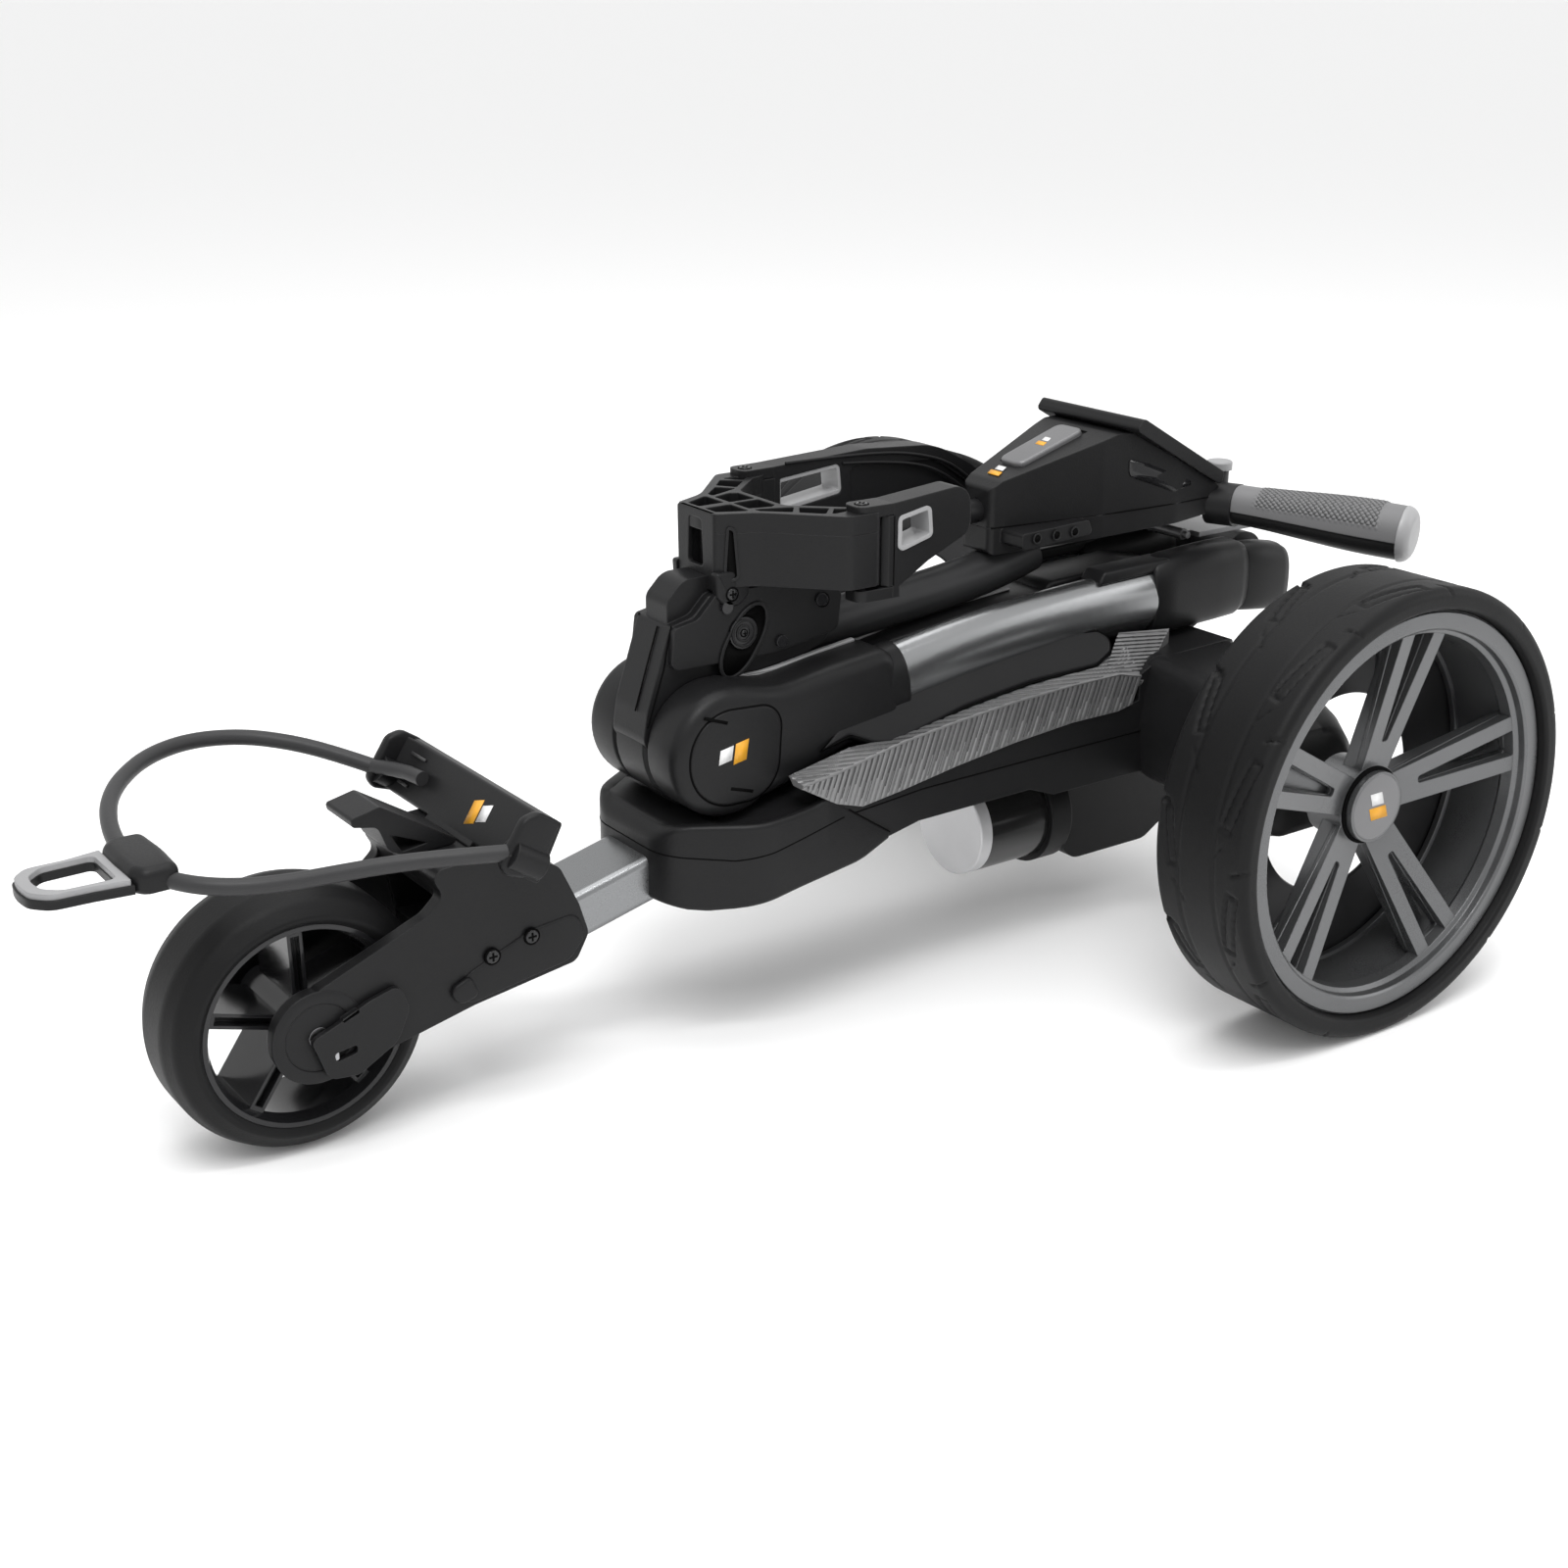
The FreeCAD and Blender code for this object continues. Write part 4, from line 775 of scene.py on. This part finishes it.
for side, sign in SIDES:
    start, along = Vector((60, sign * 20, 0)), Vector((-24, sign * 11, 0)).normalized()
    out = Vector((11, sign * 24, 0)).normalized()

    def flank(a, b, h, start=start, along=along, out=out):
        place = start + along * a + out * h
        return (place[0], place[1], b)

    rim = rounded([(5, 288), (15.5, 291), (13, 322), (7.5, 324)], 4)
    # the flute's floor is a near-black sheet: painted shade in the recess
    seam_plate(side + "_flute_floor", inset_loop(rim, 1.6), 0.0, 0.35, "upper_frame", place=flank)
    plate(side + "_flute_rim", rim, 0.0, 1.3, "upper_frame", place=flank,
          holes=[inset_loop(rim, 1.7)], bevel=0.4)
    lobe = rounded([(62, 296), (36, 296), (38, 280), (44, 274), (54, 273), (61, 280)], [2, 8, 6, 8, 8, 6])
    lobe_lift = outward(sign)
    cushion(side + "_bracket_lobe", lobe, 19.5, 25.5, "upper_frame", place=lobe_lift, top=2.2)
    slotted(side + "_lobe_screw", 51, sign * 25.7, 282, 4.6, "upper_frame", (0, sign, 0))
    slotted(side + "_rear_screw", -18, sign * 24.2, 267, 4.6, "upper_frame", (0, sign, 0))
    slotted(side + "_low_screw", 14, sign * 24.2, 246, 3.6, "upper_frame", (0, sign, 0))
    slotted(side + "_pivot_screw", PIVOT_X, sign * PIVOT_Y, 335, 4.6, side + "_bag_arm", (0, 0, 1))

# ---- bag arms: pale inner frames ----
for side, sign in SIDES:
    lift = outward(sign)
    reach = 45 if sign > 0 else 70
    opening = rounded([(PIVOT_X - 20, 326.5), (PIVOT_X - reach, 331), (PIVOT_X - reach - 2, 311),
                       (PIVOT_X - 20, 304)], 4)
    plate(side + "_arm_frame", inset_loop(opening, 0.05), PIVOT_Y - 7.5, PIVOT_Y + 10.8, side + "_bag_arm",
          "hook_grey",
          place=lift, holes=[inset_loop(opening, 2.8)], bevel=0.7, material=PALE)

# ---- hinge drum between the arm bosses ----
DRUM = [(20, -17.9), (38, -17.9), (41.2, -15), (41.4, 0), (41.2, 15), (38, 17.9), (20, 17.9)]
ring_piece("hinge_drum", DRUM, HINGE_X, HINGE_Z, LIFTS["y"], "upper_frame", turns=128)

# ---- hinge block: cover seams, button rings and its oval recess ----
seam_runs = [[(90, 18.15, 267), (96, 18.15, 240), (108, 18.15, 206)],
             [(90, -18.15, 267), (96, -18.15, 240), (108, -18.15, 206)],
             [(92.2, 6, 264.5), (100.6, 6, 240), (109.2, 6, 214)]]
curve_piece("block_seams", seam_runs, 0.5, "upper_frame", material=SEAM_AND_SHADE_DARK)
BUTTON_X, BUTTON_Z = 42.0, 256.0
slot_loop = []
for k in range(48):
    angle = math.tau * k / 48
    a, b = 22 * math.cos(angle), 12.6 * math.sin(angle)
    a += 4 if math.cos(angle) > 0 else -4
    lean = math.radians(123)
    slot_loop.append((BUTTON_X - 0.5 + a * math.cos(lean) - b * math.sin(lean),
                      BUTTON_Z - 5 + a * math.sin(lean) + b * math.cos(lean)))
# the oval recess round the button is a near-black sheet: painted shade in the recess
seam_plate("button_recess", inset_loop(slot_loop, 1.0), 22.9, 23.25, "upper_frame",
           holes=[disc_points(BUTTON_X, BUTTON_Z, 10.3)])
plate("button_rim", slot_loop, 22.8, 24.6, "upper_frame", holes=[inset_loop(slot_loop, 2.2)], bevel=0.6)
for number, radius in enumerate((8.8, 5.6)):
    ring_piece(f"button_ring_{number}",
               [(radius, 24.2), (radius, 25.3), (radius - 1.5, 25.3), (radius - 1.5, 24.2)],
               BUTTON_X, BUTTON_Z, LIFTS["y"], "lock_button", turns=48)
slotted("button_screw", BUTTON_X, 24.7, BUTTON_Z, 2.6, "lock_button")

# ---- console: badge, seam, port dots, side recess and cable sleeve ----
slope_u = Vector((-56, 0, 17.6)).normalized()
slope_n = Vector((17.6, 0, 56)).normalized()


def on_slope(a, b, h):
    """a runs up the console's slope from its nose, b across it, h out of it."""
    place = Vector((-168, 0, 321.3)) + slope_u * a + Vector((0, b, 0)) + slope_n * h
    return tuple(place)


badge_loop = rounded([(20, -11.5), (78, -12.5), (78, 12.5), (20, 11.5)], [7, 6, 6, 7], step=9)
cushion("console_badge", badge_loop, -1.5, 2.6, "upper_frame", "badge_grey", place=on_slope, top=1.8,
        replaces=["badge_plate"])
mark("badge_mark", (52, 0), (8, 4.5), "upper_frame", lambda a, b, h: on_slope(a, b, h + 2.6),
     turn=math.pi / 2)
mark("nose_mark", (10, 0), (11, 5), "upper_frame", lambda a, b, h: on_slope(a, b, h + 0.2), turn=math.pi / 2)


def wall_y(x):
    """Half width of the console at x."""
    for (x0, y0), (x1, y1) in zip(CONSOLE_PLAN, CONSOLE_PLAN[1:]):
        if x >= x1:
            return y0 + (y1 - y0) * (x0 - x) / (x0 - x1)
    return CONSOLE_PLAN[-1][1]


CONSOLE_PLAN = [(-160, 14), (-220, 29.2), (-240, 34.6), (-260, 38.6), (-280, 41.8), (-300, 44.6),
                (-320, 45.9),
                (-342, 47)]
for side, sign in SIDES:
    panel = rounded([(-259, 329), (-275, 324), (-316, 307), (-296, 303), (-260, 317)], [2, 4, 2, 5, 5])
    plate(side + "_console_panel", panel, -0.3, 0.5, "upper_frame", "black_gloss",
          place=lambda a, b, h, sign=sign: (a, sign * (wall_y(a) + h), b), smooth=0)
seam_runs = []
for sign in (1, -1):
    seam_runs.append([(x, sign * (wall_y(x) + 0.1), 290 - (x + 150) * 6 / 195)
                      for x in range(-161, -334, -12)])
curve_piece("console_seam", seam_runs, 0.45, "upper_frame", material=SEAM_AND_SHADE_DARK)
for number, x in enumerate((-180, -197, -213)):
    seam_plate(f"port_dot_{number}", disc_points(x, 285.8, 2.5, 20), 38.0, 38.95, "upper_frame")
    ring_piece(f"port_ring_{number}", [(3.6, 38.6), (3.6, 39.2), (2.6, 39.2), (2.6, 38.6)], x, 285.8,
               LIFTS["y"],
               "upper_frame", turns=32)
curve_piece("cable_sleeve", [[(-10, 0, 290), (-60, 0, 295), (-110, 0, 298.5), (-163, 0, 300)]], 8.0,
            "upper_frame")

# ---- grips: textured light upper, dark insert below, round ends ----
BAR_X, BAR_Z, GRIP_START, GRIP_LENGTH = -348.0, 289.0, 52.0, 118.0
SWEEP, DROP = math.radians(24.0), math.radians(3.0)
INSERT = 0.12                                       # sine of the angle where the dark insert meets the grip


def grip_point(sign, along, side, up):
    """A place on a grip: along its length, towards the front, and up."""
    axis = Vector((-math.sin(SWEEP) * math.cos(DROP), math.cos(SWEEP) * math.cos(DROP), -math.sin(DROP)))
    fore = Vector((math.cos(SWEEP), math.sin(SWEEP), 0))
    rise = fore.cross(axis)
    place = Vector((BAR_X, GRIP_START, BAR_Z)) + axis * along + fore * side + rise * up
    return (place[0], sign * place[1], place[2])


def grip_section(t):
    """(half width, half height) of the grip at t, from 0 at the console to 1 at its end."""
    swell = 0.5 - 0.5 * math.cos(math.pi * min(1.0, t * 1.15))
    return 14.6 + 4.4 * swell, 14.0 + 5.0 * swell


def grip(side, sign):
    rows, turns = 200, 160
    shaded_grooves = set()
    rings = []
    for i in range(rows + 1):
        t = i / rows
        a, b = grip_section(t)
        ring = []
        for j in range(turns):
            angle = math.tau * j / turns
            c, s = math.cos(angle), math.sin(angle)
            side_way = a * squared(c, 0.86)
            up_way = b * squared(s, 0.86)
            lift = 0.0
            if 0.14 < t < 0.9 and s > INSERT:
                along, round_way = t * GRIP_LENGTH, angle * 17
                lift = abs(math.sin((along + round_way) * 0.80)) * abs(math.sin((along - round_way) * 0.80))
                lift *= min(1, (t - 0.14) * 30, (0.9 - t) * 30, (s - INSERT) * 6)
                if lift < 0.30 and (s - INSERT) * 6 > 0.9 and 0.16 < t < 0.88:
                    shaded_grooves.add((i, j))
            if s < -INSERT:
                lift -= 0.8
            scale = 1 + (lift - 0.5) / 17
            ring.append(grip_point(sign, t * GRIP_LENGTH, side_way * scale, up_way * scale))
        rings.append(facing_out(ring, -sign))
    piece = lofted(side + "_grip", rings, "upper_frame", "grip_rubber", smooth=60)
    piece.data.materials.append(FINISHES["black_plastic"])
    # faces in the grooves of the texture take a darker finish: painted shade in the grooves
    piece.data.materials.append(SHADED_GRIP_GROOVE)
    for polygon in piece.data.polygons:
        if len(polygon.vertices) == 4:
            i, j = divmod(polygon.index, turns)
            j = j if sign < 0 else (turns - 2 - j) % turns
            if (i, j) in shaded_grooves:
                polygon.material_index = 2
            if math.sin(math.tau * (j + 0.5) / turns) < -INSERT:
                polygon.material_index = 1
    end = []
    for k in range(9):
        angle = math.pi / 2 * k / 8
        a, b = grip_section(1.0)
        shrink = 1 - 0.42 * (1 - math.cos(angle))
        along = GRIP_LENGTH + 7.6 * math.sin(angle)
        ring = [grip_point(sign, along, a * shrink * math.cos(math.tau * j / 64),
                           b * shrink * math.sin(math.tau * j / 64))
                for j in range(64)]
        end.append(facing_out(ring, -sign))
    lofted(side + "_grip_end", end, "upper_frame", "grip_rubber", material=PALE, smooth=50)


both_sides(grip)
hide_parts("grips")
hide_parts("grip_ends")

# ---- arm knuckles, right arm web and ridges, a black tray between the arms as painted shade, pale lips, and a pale line on the tray as a painted highlight ----
for side, sign in SIDES:
    arc = [(PIVOT_X - math.sqrt(max(0.0, 144.5 - (y - PIVOT_Y) ** 2)), y) for y in range(53, 69)]
    inner = [(x, max(y, 53.8)) for x, y in arc]
    knuckle = [(PIVOT_X - 18, 53.8)] + inner + [(PIVOT_X - 13.5, 72), (PIVOT_X - 18, 72)]
    plate(side + "_arm_knuckle", knuckle, 284, 327.6, side + "_bag_arm",
          place=lambda a, b, h, sign=sign: (a, sign * b, h), bevel=0.4)
web = rounded([(-94, 329), (-168, 325), (-203, 301), (-209, 291), (-94, 299)], [4, 30, 20, 3, 4])
plate("right_arm_web", web, 56, 62, "right_bag_arm", place=LIFTS["-y"], bevel=0.4)
ridges = [[(-44, 53.6, 336.2), (-100, 53.6, 335.6), (-150, 53.6, 331), (-190, 53.6, 317), (-213, 53.6, 294)],
          [(-90, 53.6, 330.6), (-140, 53.6, 327), (-180, 53.6, 313), (-204, 53.6, 292)]]
ridge_runs = [[(x, -y, z) for x, y, z in run] for run in ridges]
curve_piece("right_arm_ridges", ridge_runs, 1.1, "right_bag_arm", nurbs=True)
# painted shade: the black tray fills the shadowed space between the arms and hides the far arm
tray = rounded([(-36, 196), (-40, 224), (-80, 231), (-131, 237), (-200, 242), (-268, 244), (-268, 218),
                (-200, 212), (-131, 206), (-80, 199)], [4, 6, 60, 60, 60, 6, 6, 60, 60, 60])
cushion("arm_shade_tray", tray, -20.5, 20.5, "folding_arms", top=2, bottom=2)
for side, sign in SIDES:
    path = [(50, 228.2), (38, 226.4), (28, 226.2), (16, 227.4), (0, 229.7), (-18, 232.4), (-44, 235.4)]
    strip = path + [(x + 0.4, z + 2.2) for x, z in reversed(path)]
    plate(side + "_boss_lip", strip, 18.7, 22.6, "folding_arms", "hook_grey", place=outward(sign),
          material=PALE, bevel=0.6)

# a pale line along the top of the tray: a painted highlight
curve_piece("tray_highlight_line", [[(-42, 1, 225.4), (-84, 1, 232.6), (-131, 1, 238.2), (-190, 1, 242.4)]], 1.1,
            "folding_arms", "silver_tube", material=PALE)

# ---- bars behind the console that carry the grips ----
for side, sign in SIDES:
    rings = []
    for t in range(7):
        f = t / 6
        centre = grip_point(sign, -16 + 19 * f, 1.5 - 1.5 * f, -1.0 + 0.6 * f)
        ring = []
        for j in range(40):
            angle = math.tau * j / 40
            ring.append(tuple(Vector(centre) + Vector((15.6 * math.cos(angle),
                                                       sign * 15.6 * 0.40 * math.cos(angle),
                                                      14.6 * math.sin(angle)))))
        rings.append(facing_out(ring, -sign))
    lofted(side + "_grip_root", rings, "upper_frame")

# ---- fork: stepped covers, crown steps and screws ----
FORK_X, FORK_Z = 342.0, 79.0
for side, sign in SIDES:
    lift = outward(sign)
    ring_piece(side + "_hub_boss", [(28, 45.5), (27.6, 46.3), (26, 46.9), (22.5, 47.1), (20.5, 46.8),
                                    (19.5, 45.5)], FORK_X,
               FORK_Z, lift, FRAME_BODY, turns=72)
    cover = rounded([(349, 80), (346, 72), (340, 54), (322, 52), (297, 66), (289, 84), (294, 100), (313, 95),
                     (333, 86)],
                    [4, 4, 8, 10, 14, 10, 6, 20, 6], step=8)
    notch = rounded([(336, 69), (322, 71), (322, 66), (335, 63.5)], 2)
    upper_notch = rounded([(330, 88.5), (320, 92.4), (319, 89.8), (329, 86)], 1)
    plate(side + "_fork_cover", cover, 47.5, 51.0, FRAME_BODY, place=lift, bevel=1.0,
          holes=[notch, upper_notch])
    plate(side + "_cover_bolt", rounded([(338, 68.5), (333, 69.5), (333, 64.5), (338, 64)], 1), 47.4, 50.2,
          FRAME_BODY,
          "steel", place=lift, bevel=0.4)
    step = rounded([(262, 78), (256, 88), (247, 94), (208, 110), (176, 113), (172, 96), (183, 84), (246, 74)],
                   [6, 6, 10, 20, 8, 8, 10, 8])
    cushion(side + "_crown_step", step, 45.5, 47.2, FRAME_BODY, place=lift, top=1.2)
    block = rounded([(264, 86), (249, 92.5), (244, 79), (256, 75)], [7, 3, 3, 6])
    cushion(side + "_crown_block", block, 46.5, 49.6, FRAME_BODY, place=lift, top=1.8)
    for number, (x, z) in enumerate(((208, 106), (234, 100))):
        slotted(f"{side}_fork_screw_{number}", x, sign * 47.8, z, 5.2, FRAME_BODY, (0, sign, 0))
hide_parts("fork_covers")
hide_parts("fork_screws")

# ---- strap slider and finger hook ----
slider = rounded([(407, -19), (427, -20), (432.5, -11), (433, 9.5), (432.5, 30), (427, 39), (407, 38),
                  (405.5, 9.5)],
                 [6, 8, 8, 60, 8, 8, 6, 80])
cushion("cord_slider", slider, 182.2, 196.8, FRAME_BODY, axis="z", top=5.5, bottom=3, steps=6,
        replaces=["strap_slider"])
hook_loop = rounded([(431, -17.5), (452, -14), (474, -14), (483, -4), (484.5, 9), (483, 22), (474, 32),
                     (452, 33),
                     (431, 35.5)], [0, 30, 12, 12, 40, 12, 12, 30, 0])
hook_hole = rounded([(438, -9.5), (466, -8.5), (474, -1), (475.5, 9), (474, 19), (466, 26.5), (438, 27.5)],
                    [4, 8, 8, 20, 8, 8, 4])
plate("hook_body", inset_loop(hook_loop, 0.1), 183.5, 188.6, FRAME_BODY, axis="z",
      holes=[hook_hole], bevel=1.4, replaces=["strap_hook"])
plate("hook_frame", inset_loop(hook_loop, 1.4), 187.5, 191.8, FRAME_BODY, "hook_grey", axis="z",
      holes=[inset_loop(hook_hole, -0.6)], bevel=1.4)

# ---- low bag bracket: scooped ends, cord sleeves and a generic mark ----
BRACKET_TOP, BRACKET_LOW = Vector((215, 0, 193)), Vector((234, 0, 163.5))
down = (BRACKET_LOW - BRACKET_TOP).normalized()
facing = Vector((0.8407, 0, 0.5415))


def on_bracket(a, b, h):
    """a runs across the plate, b down it from its top edge, h out of its face."""
    return tuple(BRACKET_TOP + Vector((0, a, 0)) + down * b + facing * h)


for side, sign in SIDES:
    scoop = []
    for k in range(9):
        t = k / 8
        y, rise = sign * (66 + 21.6 * t), 8.0 * t ** 2.2
        scoop.append([on_bracket(y, 0.4, rise), on_bracket(y, 34.4, rise),
                      on_bracket(y, 34.4, rise - 3.4 * (1 - t) - 3.0),
                      on_bracket(y, 0.4, rise - 3.4 * (1 - t) - 3.0)])
    lofted(side + "_bracket_scoop", facing_out(scoop, sign), FRAME_BODY, bevel=0.8)
    wall = rounded([(207.5, 190), (221, 199), (231, 197), (247, 173), (243, 166), (224.5, 159.5)],
                   [3, 8, 8, 8, 6, 4])
    cushion(side + "_bracket_wall", wall, 81.5, 88.6, FRAME_BODY,
            place=outward(sign), top=2.4, bottom=2.4, steps=4)
curve_piece("cord_ferrule", [[(241, -85, 179), (234, -72, 179.6), (230, -60, 180), (228.3, -44, 180.4)]], 4.6,
            FRAME_BODY, "strap_rubber")
# the slits are dark strips laid on the plate: painted shade inside them
for number, (a0, a1, b) in enumerate(((-74, -56, 8), (-74, -62, 27))):
    slit = rounded([(a0, b - 0.9), (a1, b - 0.9), (a1, b + 0.9), (a0, b + 0.9)], 0.6)
    plate(f"bracket_slit_{number}", slit, 0.0, 1.4, FRAME_BODY, place=on_bracket, material=SHADED_GROOVE,
          smooth=0)
mark("bracket_mark", (21, 17), (15, 9), FRAME_BODY, on_bracket, turn=math.pi / 2)

# ---- body: the dark panel above the trim ----
for side, sign in SIDES:
    lift = outward(sign)
    panel = rounded([(4, 183), (-17, 187.5), (-32, 181), (-45, 179.4), (-63, 183), (-104, 191), (-160, 197.6),
                     (-214, 200), (-229, 206), (-233, 213), (-226, 218), (-180, 220), (-100, 212),
                     (-30, 202)],
                    [0, 6, 14, 14, 40, 60, 60, 16, 7, 6, 7, 20, 60, 30])

    def leaning(a, b, h, sign=sign):
        level = 179.4 + (-44.7 - a) * 0.125
        return (a, sign * (64 - 0.8 * (b - level) + 0.78 * h), b + 0.62 * h)

    cushion(side + "_upper_panel", panel, -5, 1.2, FRAME_BODY, place=leaning, top=1.6, steps=4)
    seam_plate(side + "_panel_gap", inset_loop(panel, -1.1), -4, 0.1, FRAME_BODY, place=leaning,
               holes=[inset_loop(panel, 0.2)])

# ---- body: soft front edge and the seam between its shells ----
PLAN = [(113, -40), (113, 40), (62, 74), (-338, 74), (-338, -74), (62, -74)]
LOW_EDGE = [(120, 100), (113, 99.4), (101, 96.4), (90, 95.4), (76, 96.8), (60, 99.4), (34, 104), (10, 107.6),
            (-8, 110.4),
            (-15, 112.4), (-25, 117), (-34.5, 121.4), (-50, 126)]
HIGH_EDGE = [(120, 131), (113, 140), (110, 144.2), (106, 148.2), (98, 149.6), (60, 150), (40, 151.6),
             (23, 154), (4, 160.6),
             (-14, 168), (-40, 175)]
SEAM = [(120, 132.3), (113, 131.4), (95, 129.8), (76, 128.2), (55, 131.4), (33, 136), (18, 139.5), (3, 143),
        (-30, 145.5), (-60, 148), (-150, 149), (-345, 150)]


def level(edge, x):
    """Height of an edge line at x."""
    for (x0, z0), (x1, z1) in zip(edge, edge[1:]):
        if x >= x1:
            return z0 + (z1 - z0) * (x0 - x) / (x0 - x1)
    return edge[-1][1]


corner_line = rounded(PLAN, [30, 30, 40, 8, 8, 40], step=3)
plan_line = []
for (x0, y0), (x1, y1) in zip(corner_line, corner_line[1:] + corner_line[:1]):
    parts = max(1, int(math.hypot(x1 - x0, y1 - y0) / 2.5))
    plan_line += [(x0 + (x1 - x0) * k / parts, y0 + (y1 - y0) * k / parts) for k in range(parts)]
turned = [p for p in plan_line if p[0] > -34.4]
start = max(range(len(turned)), key=lambda k: math.dist(turned[k], turned[k - 1]))
turned = turned[start:] + turned[:start]


def plan_place(i, d):
    """The plan place at step i of the nose, d mm inside its wall."""
    a, b = Vector(turned[max(0, i - 1)]), Vector(turned[min(len(turned) - 1, i + 1)])
    along = (b - a).normalized()
    out = Vector((along[1], -along[0]))
    if out.dot(Vector(turned[i]) - Vector((20, 0))) < 0:
        out = -out
    return Vector(turned[i]) - out * d


nose, seam_line = [], []
for i, (x, y) in enumerate(turned):
    foot = level(LOW_EDGE, x)
    section = [(5.0, foot + 4.0), (5.0, foot - 0.3), (2.1, foot - 0.9), (0.95, foot - 0.67),
               (-0.02, foot - 0.02),
               (-0.67, foot + 0.95), (-0.9, foot + 2.1)]
    head = level(HIGH_EDGE, x)
    limit = 146.4 - (-2 - x) / 1.475
    if x >= -2 and limit >= head - 4:
        ends = [(-0.9, -2.1), (-0.67, -0.95), (-0.02, 0.02), (0.95, 0.67), (2.1, 0.9), (5.5, 0.55),
                (8.0, -0.4), (8.0, -4.0)]
        section += [(d, level(HIGH_EDGE, plan_place(i, d)[0]) + h) for d, h in ends]
    else:
        limit = max(min(limit, head - 1), foot + 2.4)
        ends = [(-0.9, -0.8), (-0.8, -0.3), (-0.4, 0), (0.4, 0), (1.0, 0), (2.0, 0), (3.0, 0), (4.0, -0.2)]
        section += [(d, limit + h) for d, h in ends]
    nose.append([(*plan_place(i, d), z) for d, z in section])
    if x > 0:
        seam_line.append((*plan_place(i, -0.75), level(SEAM, x)))
lofted("body_nose", nose, FRAME_BODY, smooth=50)
side_runs = [[(x, sign * 73.95, level(SEAM, x)) for x in (-6, -30, -60, -105, -150, -240, -336)]
             for sign in (1, -1)]
edge_runs = [[(-2, sign * 74.6, 146.9), (-18, sign * 74.6, 136.0), (-34, sign * 74.6, 125.2)]
             for sign in (1, -1)]
curve_piece("body_seam", [seam_line] + side_runs + edge_runs, 0.5, FRAME_BODY, material=SEAM_AND_SHADE_DARK)

# ---- housings from the body out to the rear wheels, and a black bridge between the arms as painted shade ----
for side, sign in SIDES:
    rings = []
    for y, x0, x1, z0, z1, soft in (
            (70, -335, -252, 116, 199, 9), (78, -335, -252, 114, 199.5, 9), (110, -333, -250, 112, 198.5, 12),
            (150, -329, -245, 110, 194, 18), (186, -321, -238, 108, 186, 26), (200, -316, -240, 112, 180, 30),
            (203, -310, -246, 118, 174, 26)):
        corners = [(x0, z0), (x1, z0), (x1 + 4, (z0 + z1) / 2), (x1 - 4, z1), (x0, z1)]
        loop = rounded(corners, [soft, soft, 30, soft, soft], step=90 / 8)
        rings.append(facing_out([(x, sign * y, z) for x, z in resampled(loop, 72)], sign))
    lofted(side + "_axle_shroud", rings, FRAME_BODY, smooth=40)
# painted shade: the black bridge fills the deep shadow under the console between the arms
bridge = rounded([(-206, 222), (-322, 220), (-324, 244), (-290, 250), (-206, 248)], [6, 6, 8, 20, 8])
rest = rounded([(-230, 247), (-300, 249.5), (-296, 257), (-236, 256)], [2, 2, 4, 4])
for side, sign in SIDES:
    cushion(side + "_rest_pad", rest, 26, 46, "folding_arms", top=2, bottom=2,
            place=outward(sign))
cushion("arm_shade_bridge", bridge, -20.4, 20.4, "folding_arms", top=2.5, bottom=2.5)

# ---- studio ----
def stage_plane():
    data = bpy.data.meshes.new("floor")
    size = 200.0
    data.from_pydata([(-size, -size, 0), (size, -size, 0), (size, size, 0), (-size, size, 0)], [],
                     [(0, 1, 2, 3)])
    floor = bpy.data.objects.new("floor", data)
    SCENE.collection.objects.link(floor)
    paint = bpy.data.materials.new("floor_paint")
    paint.use_nodes = True
    shader = paint.node_tree.nodes["Principled BSDF"]
    shader.inputs["Base Color"].default_value = (0.97, 0.97, 0.97, 1)
    shader.inputs["Roughness"].default_value = 0.75
    shader.inputs["Specular IOR Level"].default_value = 0.2
    data.materials.append(paint)


def soft_light(name, place, target, size, power):
    data = bpy.data.lights.new(name, "AREA")
    data.shape, data.size, data.size_y, data.energy = "RECTANGLE", size[0], size[1], power
    lamp = bpy.data.objects.new(name, data)
    SCENE.collection.objects.link(lamp)
    lamp.location = place
    aim = Vector(target) - Vector(place)
    lamp.rotation_euler = aim.to_track_quat("-Z", "Y").to_euler()


stage_plane()
soft_light("key", (0.9, 1.2, 2.4), (0, 0, 0.15), (1.2, 1.2), 26)
soft_light("top", (-0.3, -0.4, 2.8), (0, 0, 0.1), (2.0, 2.0), 26)
soft_light("side", (-2.4, 1.6, 1.2), (-0.1, 0, 0.2), (1.0, 1.4), 9)
soft_light("strip", (0.15, 0.75, 1.9), (-0.1, 0.05, 0.2), (1.8, 0.16), 9)
world = bpy.data.worlds.new("studio")
world.use_nodes = True
world.node_tree.nodes["Background"].inputs["Color"].default_value = (1, 1, 1, 1)
world.node_tree.nodes["Background"].inputs["Strength"].default_value = 0.92
SCENE.world = world
SCENE.view_settings.view_transform = "Standard"
